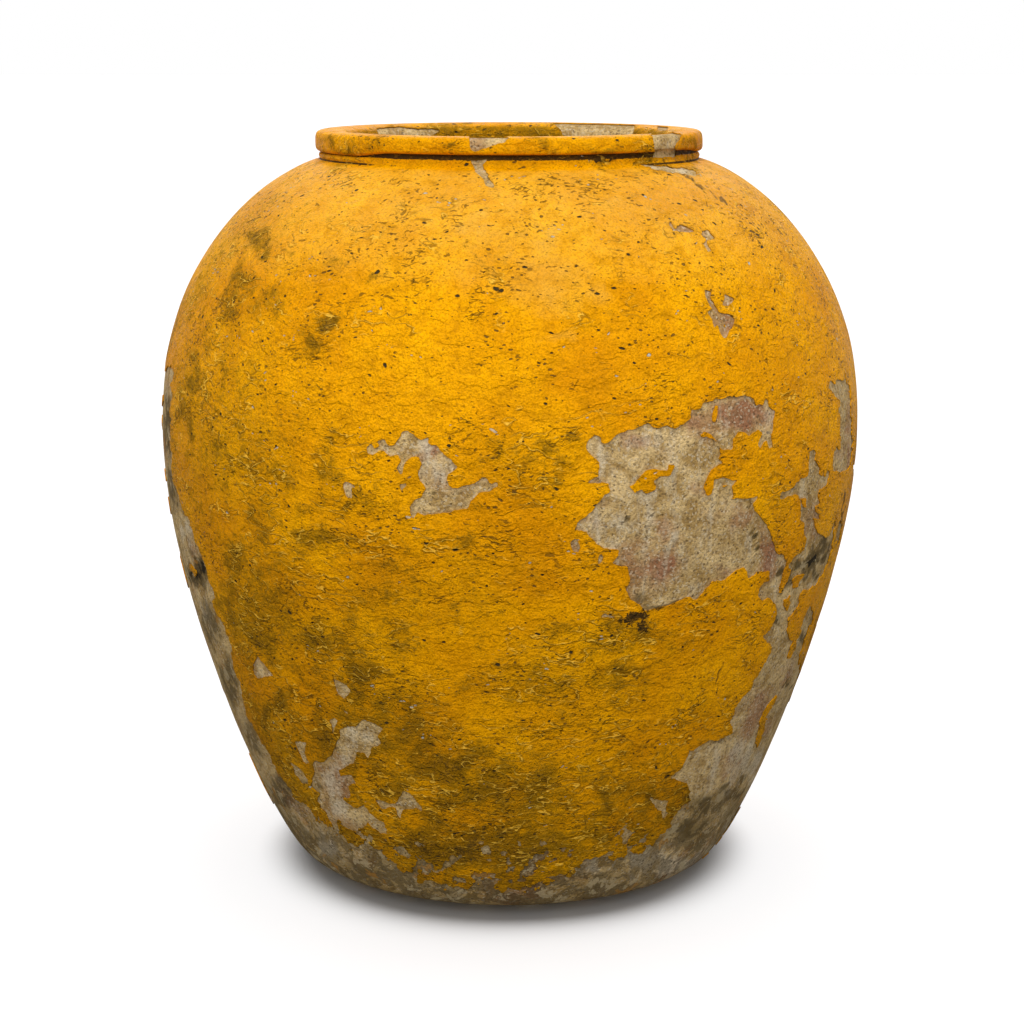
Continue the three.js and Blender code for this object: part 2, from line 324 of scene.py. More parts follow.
CLAY_LIME_DABS = (
    (672, 545, 4, 11, 1.2), (620, 520, 18, 12, 0.7), (650, 490, 22, 14, 0.6), (440, 474, 18, 16, 1.1),
    (425, 445, 12, 8, 0.8), (600, 455, 10, 14, 0.7), (364, 738, 18, 14, 1.1), (340, 780, 14, 20, 1.0),
    (338, 806, 16, 14, 0.9), (188, 532, 8, 12, 0.9), (668, 864, 34, 16, 1.1), (640, 860, 18, 10, 0.9),
    (596, 866, 8, 6, 1.0),
    (722, 835, 12, 22, 0.6), (735, 725, 10, 14, 0.5), (812, 584, 10, 5, 1.0), (365, 846, 9, 9, 0.9),
    (332, 850, 12, 10, 1.0), (308, 822, 6, 8, 0.8), (300, 800, 5, 9, 0.9), (655, 520, 26, 20, 0.5),
    (664, 560, 40, 34, 0.4), (215, 610, 14, 40, 0.2), (488, 142, 20, 8, 1.3), (666, 146, 16, 13, 1.1),
    (595, 130, 44, 8, 0.7), (668, 168, 34, 5, 0.9), (478, 168, 9, 8, 0.8), (800, 700, 16, 50, 0.5),
    (745, 755, 26, 28, 0.9), (640, 440, 24, 12, 0.9), (738, 540, 14, 16, 0.5),
)
CLAY_STRAY = 9
CLAY_STRAY_SIZE = 14 * MM
SPLASH = 0.6
SPLASH_TOP = 120 * MM
SPLASH_FULL = 45 * MM


def ease(low, high, value):
    """A share that rises gently from 0 at low to 1 at high."""
    share = np.clip((value - low) / (high - low), 0, 1)
    return share * share * (3 - 2 * share)


def faces_eye(spots):
    """How squarely the wall at each spot faces the eye, from -1 to 1."""
    radius = np.interp(spots[:, 2], wall_spots[:, 1], wall_lean[:, 1])
    rise = -np.interp(spots[:, 2], wall_spots[:, 1], wall_lean[:, 0])
    on_rim = spots[:, 2] > NECK_HEIGHT - 2 * MM
    radius[on_rim] = 1
    rise[on_rim] = 0
    turn = np.arctan2(spots[:, 0], -spots[:, 1])
    out = np.column_stack((radius * np.sin(turn), -radius * np.cos(turn), rise))
    away = EYE - spots
    return np.sum(out * away, axis=1) / np.linalg.norm(away, axis=1)


def ragged(spots, size, seed):
    """Uneven tearing, about -1 to 1, whose largest tears have this size in metres."""
    shift = Vector((seed, seed * 0.7, seed * 0.3))
    return np.array([noise.fractal(Vector(spot) / size + shift, 0.7, 2.1, 3) for spot in spots])


def dabbed(seen, dabs):
    """How much of some dabs lies on each seen spot."""
    total = np.zeros(len(seen))
    for across, down, wide, tall, strong in dabs:
        far = ((seen[:, 0] - across) / wide)**2 + ((seen[:, 1] - down) / tall)**2
        total = np.maximum(total, strong * np.exp(-far))
    return total


def mark_clay(piece, inside_grime):
    """Marks bare clay with the dirt, fire flushes and pale lime that the eye sees on it."""
    spots = spots_of(piece)
    strayed = seen_at(spots) + CLAY_STRAY * np.column_stack((
        ragged(spots, CLAY_STRAY_SIZE, 31.0), ragged(spots, CLAY_STRAY_SIZE, 37.0)))
    front = np.clip(faces_eye(spots) * 5 + 0.2, 0, 1)
    near_ground = SPLASH * ease(SPLASH_TOP, SPLASH_FULL, spots[:, 2])
    radius = np.hypot(spots[:, 0], spots[:, 1])
    outer = np.interp(spots[:, 2], wall_spots[:, 1], wall_spots[:, 0])
    inside = inside_grime * (radius < outer - WALL / 2)
    dirt = np.maximum(dabbed(strayed, CLAY_GRIME_DABS) * front, near_ground)
    mark(piece, "grime", np.maximum(dirt, inside))
    mark(piece, "flush", dabbed(strayed, CLAY_FLUSH_DABS) * front)
    mark(piece, "lime", dabbed(strayed, CLAY_LIME_DABS) * front)


OUTSIDE_SPACING = 3.5 * MM
FLOOR_GRIME = 0.6
CLAY_CREASE = math.radians(40)
foot_top = wall_line(FOOT[1], FLOOR, SKIN, OUTSIDE_SPACING)
foot_round = bow(np.array((REST_RADIUS, 0)), np.array((9 * MM, 0)), np.array((-8, -3)) * MM,
                 foot_top[0], 8)
floor_edge = wall_line(FLOOR, FLOOR + MM, SKIN + WALL, MM)[0]
floor_slab = turn_on_wheel("floor_slab", np.vstack((
    ((DRAIN_RADIUS + 2 * MM, 0), (60 * MM, 0), (110 * MM, 0)),
    foot_round,
    foot_top[1:],
    (floor_edge, (floor_edge[0] - 14 * MM, FLOOR + MM), (100 * MM, FLOOR), (50 * MM, FLOOR)),
    ((DRAIN_RADIUS + 3 * MM, FLOOR), (DRAIN_RADIUS, FLOOR - 3 * MM), (DRAIN_RADIUS, 2 * MM)))), 360)
floor_spots = spots_of(floor_slab)
at_edge = np.clip((np.hypot(floor_spots[:, 0], floor_spots[:, 1]) - REST_RADIUS) / (20 * MM), 0, 1)
mark_clay(floor_slab, FLOOR_GRIME)
push_out(floor_slab, swell(floor_spots) * at_edge)
bpy.ops.object.shade_smooth_by_angle(angle=CLAY_CREASE)
floor_slab.data.materials.append(clay)
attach(floor_slab, "root")
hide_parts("floor_slab")

# The wall: four courses of coarse clay, each coiled on the one below and beaten thin, so the inside
# keeps soft finger rings. Where the coat has flaked off, this is the grey that shows.
COURSE_ENDS = {
    "foot_course": (26, 110),
    "lower_course": (110, 236),
    "belly_course": (236, 362),
    "shoulder_course": (362, 484),
}
RING_PITCH = 17 * MM
RING_DEPTH = 0.9 * MM
INSIDE_SPACING = 4.25 * MM
WALL_GRIME = 0.5
for course_name, ends in COURSE_ENDS.items():
    low, high = ends[0] * MM, ends[1] * MM
    outside = wall_line(low, high, SKIN, OUTSIDE_SPACING)
    inside = wall_line(low, high, SKIN + WALL, INSIDE_SPACING)[::-1]
    inside[:, 0] += RING_DEPTH * np.sin(inside[:, 1] * math.tau / RING_PITCH)
    course = turn_on_wheel(course_name, np.vstack((outside, inside)), 400)
    mark_clay(course, WALL_GRIME)
    push_out(course, swell(spots_of(course)))
    bpy.ops.object.shade_smooth_by_angle(angle=CLAY_CREASE)
    course.data.materials.append(clay)
    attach(course, "root")
    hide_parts(course_name)

# The neck: the last course of the same clay, drawn in over the hand and turned up into a short collar
# that carries the rim.
NECK_FOOT = 484 * MM
NECK_SPACING = 4 * MM
NECK_GRIME = 0.6
COLLAR_OUT = 148.1 * MM
COLLAR_IN = 126.1 * MM
COLLAR_TOP = 583 * MM
neck_out = wall_line(NECK_FOOT, NECK_HEIGHT, SKIN, NECK_SPACING)
neck_in = wall_line(NECK_FOOT, NECK_HEIGHT, SKIN + WALL, NECK_SPACING)[::-1]
neck_in[:, 0] += RING_DEPTH * np.sin(neck_in[:, 1] * math.tau / RING_PITCH)
neck_course = turn_on_wheel("neck_course", np.vstack((
    neck_out,
    ((COLLAR_OUT, neck_out[-1, 1] + MM), (COLLAR_OUT, COLLAR_TOP)),
    ((COLLAR_IN, COLLAR_TOP), (COLLAR_IN, 575 * MM), (COLLAR_IN, 568 * MM)),
    neck_in[neck_in[:, 0] > COLLAR_IN + 2 * MM])), 240)
mark_clay(neck_course, NECK_GRIME)
push_out(neck_course, swell(spots_of(neck_course)))
bpy.ops.object.shade_smooth_by_angle(angle=CLAY_CREASE)
neck_course.data.materials.append(clay)
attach(neck_course, "root")
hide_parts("neck_course")

# The rim roll: a fat roll of clay luted on the collar and run round with a wet cloth. Towards the
# front its underside was lifted, and the thin bead below it dies away there. Its face is drawn as
# two outlines, at the sides and at the front, and runs from one to the other.
ROLL_AT_SIDE = np.array((
    (153.5, 576.2), (151.9, 577.6), (152.8, 579.0), (153.1, 580.4), (152.6, 581.8), (151.2, 582.8),
    (150.7, 583.2), (152.4, 583.4), (154.4, 584.2), (155.4, 586.2), (155.5, 589.0), (155.5, 593.0),
    (155.1, 596.8), (153.2, 599.2), (148.6, 600.0), (142.0, 600.0), (136.0, 599.5), (130.6, 598.0),
    (126.8, 595.0), (124.8, 590.5), (124.2, 584.0), (124.2, 577.0))) * MM
ROLL_AT_FRONT = np.array((
    (157.5, 575.6), (153.6, 576.9), (151.6, 578.4), (150.9, 580.2), (150.5, 582.2), (150.2, 584.3),
    (149.9, 586.2), (151.4, 586.7), (154.0, 587.0), (155.3, 588.3), (155.5, 590.4), (155.5, 593.4),
    (155.1, 596.8), (153.2, 599.2), (148.6, 600.0), (142.0, 600.0), (136.0, 599.5), (130.6, 598.0),
    (126.8, 595.0), (124.8, 590.5), (124.2, 584.0), (124.2, 577.0))) * MM
ROLL_COLUMNS = 170
LIFT_ENDS_LEFT = (-34, -52)
LIFT_ENDS_RIGHT = (62, 82)
ROLL_UNDER_COAT = 1.2 * MM
ROLL_THICKNESS = 3.5 * MM
ROLL_GRIME = 0.12


def lay_rim(name, depth, fineness):
    """A sheet wrapped over the rim, from the shoulder over the roll and down into the mouth."""
    rows = len(ROLL_AT_SIDE)
    bpy.ops.object.select_all(action="DESELECT")
    bpy.ops.mesh.primitive_grid_add(x_subdivisions=ROLL_COLUMNS, y_subdivisions=rows - 1, size=2)
    piece = bpy.context.object
    piece.name = name
    piece.data.name = name
    flat = spots_of(piece)
    turn = flat[:, 0] * math.pi
    row = np.rint((flat[:, 1] + 1) / 2 * (rows - 1)).astype(int)
    degrees = np.degrees(turn)
    side = np.where(degrees < 0, ease(*LIFT_ENDS_LEFT, degrees), ease(*LIFT_ENDS_RIGHT, degrees))[:, None]
    face = ROLL_AT_SIDE[row] * side + ROLL_AT_FRONT[row] * (1 - side)
    move_to(piece, np.column_stack((face[:, 0] * np.sin(turn), -face[:, 0] * np.cos(turn), face[:, 1])))
    bpy.ops.object.mode_set(mode="EDIT")
    bpy.ops.mesh.select_all(action="SELECT")
    bpy.ops.mesh.remove_doubles(threshold=MERGE_GAP)
    bpy.ops.mesh.normals_make_consistent(inside=False)
    bpy.ops.object.mode_set(mode="OBJECT")
    round_off = piece.modifiers.new("round_off", "SUBSURF")
    round_off.levels = fineness
    round_off.render_levels = fineness
    bpy.ops.object.modifier_apply(modifier="round_off")
    if depth:
        set_in = piece.modifiers.new("set_in", "DISPLACE")
        set_in.strength = -depth
        set_in.mid_level = 0
        bpy.ops.object.modifier_apply(modifier="set_in")
    return piece


rim_band = lay_rim("rim_band", ROLL_UNDER_COAT, 1)
thick = rim_band.modifiers.new("thick", "SOLIDIFY")
thick.thickness = ROLL_THICKNESS
thick.offset = -1
bpy.ops.object.modifier_apply(modifier="thick")
push_out(rim_band, swell(spots_of(rim_band)))
mark(rim_band, "grime", np.full(len(rim_band.data.vertices), ROLL_GRIME))
bpy.ops.object.shade_smooth_by_angle(angle=CLAY_CREASE)
rim_band.data.materials.append(clay)
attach(rim_band, "root")
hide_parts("rim_band")

# The bead: a thin cord of clay pressed into the angle between the collar and the roll. It lies all
# under the coat.
BEAD_MIDDLE = np.array((149.3, 580.3)) * MM
BEAD_ROUND = 1.2 * MM
bead_turn = np.linspace(0, math.tau, 10, endpoint=False)
bead_outline = BEAD_MIDDLE + BEAD_ROUND * np.column_stack((np.cos(bead_turn), np.sin(bead_turn)))
rim_bead = turn_on_wheel("rim_bead", bead_outline, 180)
push_out(rim_bead, swell(spots_of(rim_bead)))
mark(rim_bead, "grime", np.zeros(len(rim_bead.data.vertices)))
bpy.ops.object.shade_smooth()
rim_bead.data.materials.append(clay)
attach(rim_bead, "root")
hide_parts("rim_bead")

# The coat on the body: a thick yellow paint brushed over the fired clay, in a front and a back sheet. It
# has crazed, pitted and wrinkled, taken up olive grime from the ground, with painted shade added towards
# the bottom, and flaked off in patches whose outlines are given in pixels of the photograph, or at the
# back in millimetres round and up the belly.
COAT = 0.8 * MM
FAR = 24.0  # pixels from an outline, past which its depth is not followed
FLAKED = {
    "main": (
        (584, 447), (587, 439), (594, 433), (600, 437), (601, 442), (607, 443), (612, 437), (620, 432),
        (632, 430), (641, 425), (647, 424), (651, 428), (666, 426), (673, 428), (681, 424), (688, 417),
        (690, 410), (699, 407), (700, 402), (710, 402), (714, 398), (719, 400), (728, 396), (742, 395),
        (751, 399), (754, 405), (761, 405), (763, 397), (766, 400), (766, 407), (773, 411), (771, 424),
        (770, 438), (772, 447), (767, 449), (765, 440), (761, 440), (759, 448), (757, 445), (760, 433),
        (756, 429), (750, 434), (747, 436), (744, 431), (737, 432), (731, 438), (731, 448), (723, 451),
        (717, 458), (721, 463), (710, 469), (707, 475), (703, 488), (705, 496), (710, 496), (713, 486),
        (714, 480), (722, 478), (734, 481), (732, 487), (733, 493), (731, 499), (743, 498), (756, 497),
        (752, 504), (754, 511), (762, 518), (768, 530), (773, 541), (777, 553), (784, 555), (785, 564),
        (781, 576), (772, 572), (758, 571), (749, 577), (744, 566), (735, 572), (722, 580), (711, 581),
        (704, 591), (697, 600), (687, 597), (676, 603), (660, 607), (645, 610), (640, 606), (631, 599),
        (626, 588), (630, 578), (627, 567), (611, 563), (618, 556), (618, 550), (604, 549), (597, 544),
        (586, 532), (574, 529), (579, 520), (592, 511), (601, 498), (610, 491), (607, 484), (587, 482),
        (597, 476), (598, 462), (590, 456)),
    "main_dots": ((570, 541), (575, 539), (580, 546), (579, 553), (573, 553)),
    "main_tick": ((600, 553), (603, 556), (602, 562), (600, 566), (597, 563), (598, 557)),
    "main_bit": ((600, 618), (604, 612), (615, 617)),
    "middle": (
        (367, 447), (371, 444), (373, 450), (380, 446), (377, 441), (384, 439), (387, 445), (393, 445),
        (400, 436), (402, 432), (407, 431), (410, 434), (420, 438), (428, 437), (428, 443), (437, 446),
        (440, 451), (446, 454), (450, 461), (456, 467), (451, 472), (446, 478), (448, 485), (452, 489),
        (462, 487), (474, 483), (481, 478), (485, 478), (490, 484), (496, 482), (497, 486), (490, 492),
        (478, 492), (471, 499), (467, 508), (457, 509), (449, 512), (436, 513), (424, 515), (418, 512),
        (413, 517), (411, 513), (409, 507), (414, 500), (421, 497), (426, 488), (424, 484), (420, 481),
        (418, 472), (421, 464), (418, 457), (411, 457), (405, 463), (402, 474), (399, 475), (397, 468),
        (401, 460), (398, 454), (389, 456), (384, 450), (377, 450), (372, 455), (367, 453)),
    "middle_bit": ((399, 484), (407, 482), (407, 486), (402, 491)),
    "middle_tick": ((406, 478), (411, 475), (410, 478)),
    "middle_left": ((343, 483), (346, 481), (354, 485), (350, 487), (352, 498), (348, 497), (342, 488)),
    "right_strip": (
        (826, 388), (827, 381), (834, 386), (833, 380), (841, 380), (842, 374), (846, 385), (849, 412),
        (851, 450), (849, 466), (841, 473), (832, 470), (831, 458), (835, 447), (838, 449), (838, 430),
        (836, 408), (837, 402), (831, 393)),
    "right_fall": (
        (808, 451), (812, 449), (815, 453), (815, 460), (817, 464), (818, 474), (821, 476), (822, 469),
        (824, 476), (826, 467), (828, 470), (828, 478), (826, 484), (822, 489), (819, 489), (818, 498),
        (819, 503), (815, 507), (815, 512), (819, 514), (819, 519), (813, 518), (815, 526), (816, 532),
        (822, 537), (828, 536), (831, 530), (834, 512), (836, 512), (833, 530), (832, 548), (829, 552),
        (828, 558), (824, 570), (821, 576), (816, 584), (808, 590), (801, 590), (799, 597), (797, 606),
        (793, 612), (789, 618), (787, 628), (788, 638), (791, 642), (797, 639), (800, 632), (802, 622),
        (804, 612), (809, 606), (813, 612), (812, 622), (807, 634), (803, 645), (800, 658), (796, 672),
        (806, 690), (760, 800), (700, 800), (692, 792), (687, 783), (671, 777), (683, 766), (690, 750),
        (698, 748), (709, 740), (718, 741), (733, 733), (730, 722), (732, 716), (742, 698), (752, 687),
        (753, 680), (766, 662), (771, 648), (769, 643), (762, 636), (771, 628), (776, 614), (775, 604),
        (770, 598), (762, 601), (758, 594), (760, 586), (768, 576), (770, 562), (778, 556), (786, 560),
        (788, 563), (795, 557), (803, 549), (806, 538), (804, 533), (803, 525), (800, 520), (800, 508),
        (799, 500), (797, 494), (790, 496), (783, 498), (778, 499), (780, 492), (786, 492), (792, 488),
        (797, 480), (798, 474), (802, 479), (808, 476)),
    "right_arc": ((839, 519), (840, 528), (838, 540), (834, 549), (831, 549), (834, 540), (837, 528)),
    "left_spot": ((155, 368), (172, 366), (175, 374), (171, 384), (173, 394), (172, 402), (155, 404)),
    "left_strip": (
        (171, 398), (172, 420), (171, 440), (173, 455), (172, 470), (175, 480), (178, 492), (182, 503),
        (187, 515), (191, 517), (192, 526), (196, 538), (201, 549), (206, 560), (210, 572), (212, 582),
        (217, 590), (219, 598), (213, 600), (216, 608), (222, 618), (227, 626), (231, 636), (234, 648),
        (236, 658), (238, 672), (243, 684), (247, 700), (252, 720), (262, 735), (270, 750), (280, 770),
        (290, 785), (302, 802), (270, 840), (200, 700), (150, 560), (150, 398)),
    "low_left": (
        (314, 765), (316, 760), (327, 763), (335, 752), (342, 737), (341, 731), (350, 725), (358, 727),
        (365, 719), (374, 723), (385, 728), (380, 736), (384, 745), (373, 747), (370, 758), (366, 752),
        (358, 751), (355, 763), (341, 770), (343, 776), (354, 775), (358, 783), (350, 786), (352, 798),
        (347, 799), (356, 806), (366, 805), (375, 814), (386, 822), (390, 834), (384, 835), (371, 822),
        (365, 828), (356, 832), (341, 822), (340, 834), (336, 832), (331, 813), (321, 801), (321, 794),
        (313, 786), (316, 772)),
    "low_left_high": ((295, 741), (308, 743), (307, 752), (311, 763), (305, 762), (300, 748)),
    "low_left_mid": ((292, 762), (300, 767), (311, 778), (312, 784), (305, 784), (295, 768)),
    "low_left_low": ((292, 790), (301, 800), (309, 808), (316, 812), (304, 808), (294, 798)),
    "left_diamond": ((260, 655), (268, 666), (275, 675), (260, 679), (255, 670)),
    "left_leaf": ((335, 679), (349, 684), (351, 692), (346, 699), (338, 692)),
    "left_seed": ((345, 710), (350, 712), (349, 716)),
    "left_thorn": ((331, 720), (337, 717), (340, 720), (335, 733)),
    "low_bird": (
        (377, 800), (391, 802), (398, 803), (406, 791), (416, 795), (423, 806), (425, 812), (417, 808),
        (404, 809), (402, 820), (398, 807), (384, 808)),
    "low_seed": ((303, 821), (306, 819), (309, 829), (304, 827)),
    "low_flake": ((331, 840), (339, 848), (337, 858)),
    "low_flake_right": ((363, 830), (373, 841), (366, 836)),
    "foot_flake": ((650, 797), (656, 800), (670, 799), (664, 816), (655, 805)),
    "neck_tongue": ((470, 160), (486, 160), (482, 165), (487, 175), (497, 190), (485, 183), (475, 169)),
    "neck_smear": ((634, 163), (665, 166), (694, 169), (700, 176), (683, 174), (658, 171)),
    "shoulder_nick": ((667, 224), (670, 221), (675, 228), (680, 224), (695, 231), (673, 231)),
    "shoulder_hook": (
        (700, 230), (708, 230), (714, 238), (706, 240), (711, 250), (707, 252), (702, 244), (705, 240)),
    "shoulder_flake": (
        (703, 289), (711, 290), (710, 297), (717, 312), (725, 313), (735, 319), (733, 325), (727, 330),
        (724, 338), (721, 338), (716, 324), (712, 328), (711, 320), (706, 312), (710, 309), (704, 297)),
    "shoulder_bit": ((720, 290), (734, 299), (727, 306), (721, 305), (725, 298)),
    "foot": (
        (270, 790), (300, 800), (318, 812), (328, 826), (342, 836), (356, 846), (372, 842), (384, 848),
        (392, 858), (402, 868), (414, 874), (428, 880), (445, 884), (470, 887), (500, 889), (530, 886),
        (552, 884), (566, 876), (586, 868), (600, 862), (625, 856), (640, 850), (652, 842), (665, 832),
        (672, 820), (678, 810), (690, 800), (692, 790), (716, 786), (742, 786), (790, 786), (790, 980),
        (240, 980)),
}
LEFT_STANDING = {
    "main_snake": (
        (624, 486), (635, 483), (641, 475), (645, 470), (655, 468), (667, 470), (668, 465), (673, 466),
        (670, 475), (659, 476), (651, 480), (656, 487), (656, 492), (645, 493), (640, 490), (634, 495),
        (630, 489)),
    "main_blade": (
        (699, 436), (702, 431), (708, 433), (714, 438), (720, 447), (724, 458), (724, 468), (721, 458),
        (716, 446), (709, 438)),
    "main_leaf": ((713, 404), (717, 405), (715, 414), (712, 421), (711, 413)),
    "main_seed": ((720, 484), (726, 485), (723, 489)),
    "main_low": ((757, 576), (768, 575), (769, 580), (760, 583)),
    "fall_seed": ((801, 499), (806, 498), (806, 508), (803, 508)),
    "fall_hook": ((793, 581), (798, 576), (804, 574), (799, 581), (798, 588), (794, 587)),
    "fall_bit": ((783, 600), (790, 595), (790, 602), (787, 610), (784, 606)),
    "fall_tip": ((787, 564), (790, 571), (787, 582), (782, 593), (778, 594), (782, 582), (784, 571)),
    "fall_sliver_high": ((797, 637), (795, 648), (791, 658), (788, 658), (790, 648), (793, 639)),
    "fall_sliver": (
        (781, 689), (774, 703), (769, 713), (766, 723), (762, 738), (758, 750), (756, 749), (758, 738),
        (760, 724), (764, 712), (770, 701)),
    "low_island": ((394, 834), (402, 831), (408, 836), (405, 842), (396, 840)),
    "foot_island": ((530, 886), (545, 883), (560, 885), (557, 892), (535, 893)),
    "left_yellow": ((192, 564), (194, 564), (198, 572), (197, 577), (193, 570)),
    "flake_middle": ((720, 319), (726, 328), (721, 328)),
}
BACK_FLAKED = {
    "back_high": (
        (640, -62), (652, -30), (668, -10), (660, 20), (655, 48), (676, 62), (700, 70), (726, 62),
        (745, 43), (734, 18), (728, -10), (742, -28), (752, -44), (720, -52), (700, -74), (668, -58)),
    "back_low": (
        (-720, -270), (-712, -232), (-700, -202), (-680, -176), (-652, -148), (-630, -158), (-610, -166),
        (-604, -210), (-590, -266), (-620, -280), (-660, -288)),
    "back_right_low": (
        (420, -300), (436, -262), (470, -250), (480, -214), (512, -200), (520, -232), (548, -250),
        (556, -300)),
    "back_seed": ((780, 92), (796, 104), (806, 92), (794, 80)),
    "back_left_seed": ((-520, 30), (-500, 44), (-486, 30), (-496, 8), (-512, 2)),
    "back_left_thorn": ((-470, -60), (-452, -40), (-446, -70), (-460, -92)),
}
HAIRLINES = (
    ((664, 158), (668, 167), (680, 173), (692, 179), (701, 189), (707, 198), (706, 206), (701, 214),
     (702, 219), (704, 226)),
    ((696, 183), (710, 192), (723, 201), (732, 210)),
    ((734, 325), (738, 328), (745, 336)),
    ((689, 382), (698, 396), (703, 402)),
    ((736, 380), (738, 391)),
    ((771, 471), (775, 476), (779, 484)),
    ((723, 662), (717, 680), (718, 700)),
    ((285, 255), (305, 275), (313, 290), (325, 310)),
    ((843, 490), (840, 520), (835, 545)),
)

# How the patches go on past the jar's outline, by how squarely the wall faces the eye: where they fray,
# and where they are torn off. Below them, how the coat breaks up towards the ground.
FRONT_ENDS = -0.36
FRAYS_FROM = 0.2
FRAYED_AT = -0.05
FRAY = 18
FRAY_SIZE = 40 * MM
TORN_OFF_AT = -0.16
TORN_OFF_STRAY = 0.24
TORN_OFF_SIZE = 75 * MM
TORN_OFF_STEEPNESS = 130
FRINGE_TOP = 24 * MM
FRINGE_WAVE = 14 * MM
FRINGE_RIPPLE = 8 * MM
PATCHY_TOP = 125 * MM
PATCHY_FULL = 30 * MM
PATCHY_SIZE = 12 * MM
PATCHY_LEAST = 1.3
PATCHY_STEEPNESS = 20
EDGE_BAND = 4.0
TEAR_BAND = 16
TEAR_SIZE = 9 * MM
WILDER = 3
WILD_TOP = 110 * MM
WILD_FULL = 40 * MM


def depth_inside(seen, outline):
    """How far each seen spot lies inside a closed outline, below zero where it lies outside."""
    corners = np.array(outline, float)
    depth = np.full(len(seen), -FAR)
    near = np.all((seen > corners.min(0) - FAR) & (seen < corners.max(0) + FAR), axis=1)
    spot = seen[near]
    gap = np.full(len(spot), FAR)
    inside = np.zeros(len(spot), bool)
    for start, end in zip(corners, np.roll(corners, -1, axis=0)):
        along = end - start
        share = np.clip((spot - start) @ along / (along @ along), 0, 1)
        gap = np.minimum(gap, np.hypot(*(spot - start - share[:, None] * along).T))
        if along[1]:
            crossed = (start[1] > spot[:, 1]) != (end[1] > spot[:, 1])
            inside ^= crossed & (spot[:, 0] < start[0] + (spot[:, 1] - start[1]) * along[0] / along[1])
    depth[near] = np.where(inside, gap, -gap)
    return depth


def gap_to_lines(seen, lines):
    """How far each seen spot lies from the nearest of some open lines."""
    gap = np.full(len(seen), FAR)
    for line in lines:
        corners = np.array(line, float)
        for start, end in zip(corners[:-1], corners[1:]):
            along = end - start
            share = np.clip((seen - start) @ along / (along @ along), 0, 1)
            gap = np.minimum(gap, np.hypot(*(seen - start - share[:, None] * along).T))
    return gap


def body_bareness(spots):
    """Pixels that each spot lies inside a flaked patch, below zero where the coat still stands."""
    seen = seen_at(spots)
    past_edge = faces_eye(spots)
    front = past_edge > FRONT_ENDS
    bare = np.full(len(spots), -FAR)
    for outline in FLAKED.values():
        bare[front] = np.maximum(bare[front], depth_inside(seen[front], outline))
    for outline in LEFT_STANDING.values():
        bare[front] = np.minimum(bare[front], -depth_inside(seen[front], outline))
    turned = front & (past_edge < FRAYS_FROM)
    frayed = ease(FRAYS_FROM, FRAYED_AT, past_edge[turned]) * ragged(spots[turned], FRAY_SIZE, 21.0)
    bare[turned] += FRAY * frayed
    torn_off = past_edge[turned] - TORN_OFF_AT
    torn_off += TORN_OFF_STRAY * ragged(spots[turned], TORN_OFF_SIZE, 19.0)
    bare[turned] = np.minimum(bare[turned], np.clip(TORN_OFF_STEEPNESS * torn_off, -FAR, FAR))
    turn = np.arctan2(spots[:, 0], -spots[:, 1])
    unrolled = np.column_stack((turn * BELLY_RADIUS, spots[:, 2] - BELLY_HEIGHT)) / MM
    for outline in BACK_FLAKED.values():
        bare[~front] = np.maximum(bare[~front], depth_inside(unrolled[~front], outline))
    fringe = FRINGE_TOP + FRINGE_WAVE * np.sin(turn * 5 + 1) + FRINGE_RIPPLE * np.sin(turn * 13 + 2)
    bare[~front] = np.maximum(bare[~front], np.clip((fringe - spots[:, 2])[~front] / MM, -FAR, FAR))
    low = spots[:, 2] < PATCHY_TOP
    patchy = PATCHY_LEAST * (ease(PATCHY_TOP, PATCHY_FULL, spots[low, 2]) - 1)
    patchy += ragged(spots[low], PATCHY_SIZE, 41.0)
    bare[low] = np.maximum(bare[low], np.clip(PATCHY_STEEPNESS * patchy, -FAR, FAR))
    return bare


def near_edge(piece, bareness, within):
    """Selects the faces of a piece that have a corner within some pixels of a broken edge."""
    close = (np.abs(bareness) < within).astype(float)
    piece.data.polygons.foreach_set("select", [
        any(close[corner] for corner in face.vertices) for face in piece.data.polygons])


def flake_off(piece, bareness_of, tear):
    """Cuts a sheet of coat along its flaked outlines and gives the broken edge its thickness."""
    bpy.ops.object.mode_set(mode="EDIT")
    bpy.ops.mesh.select_mode(type="FACE")
    bpy.ops.mesh.select_all(action="DESELECT")
    bpy.ops.object.mode_set(mode="OBJECT")
    near_edge(piece, bareness_of(spots_of(piece)), EDGE_BAND)
    bpy.ops.object.mode_set(mode="EDIT")
    bpy.ops.mesh.subdivide(number_cuts=2, ngon=False)
    bpy.ops.object.mode_set(mode="OBJECT")
    spots = spots_of(piece)
    bare = bareness_of(spots)
    close = np.abs(bare) < TEAR_BAND
    wilder = 1 + WILDER * ease(WILD_TOP, WILD_FULL, spots[close, 2])
    bare[close] += tear * wilder * ragged(spots[close], TEAR_SIZE, 5.0)
    kept = piece.vertex_groups.new(name="kept")
    for at, share in enumerate(np.clip(0.5 - bare / FAR, 0, 1)):
        kept.add((at,), float(share), "REPLACE")
    broken = piece.modifiers.new("broken", "MASK")
    broken.vertex_group = "kept"
    broken.threshold = 0.5
    broken.use_smooth = True
    bpy.ops.object.modifier_apply(modifier="broken")
    edge = piece.modifiers.new("edge", "SOLIDIFY")
    edge.thickness = COAT
    edge.offset = -1
    edge.use_rim = True
    edge.use_rim_only = True
    bpy.ops.object.modifier_apply(modifier="edge")
    piece.vertex_groups.clear()
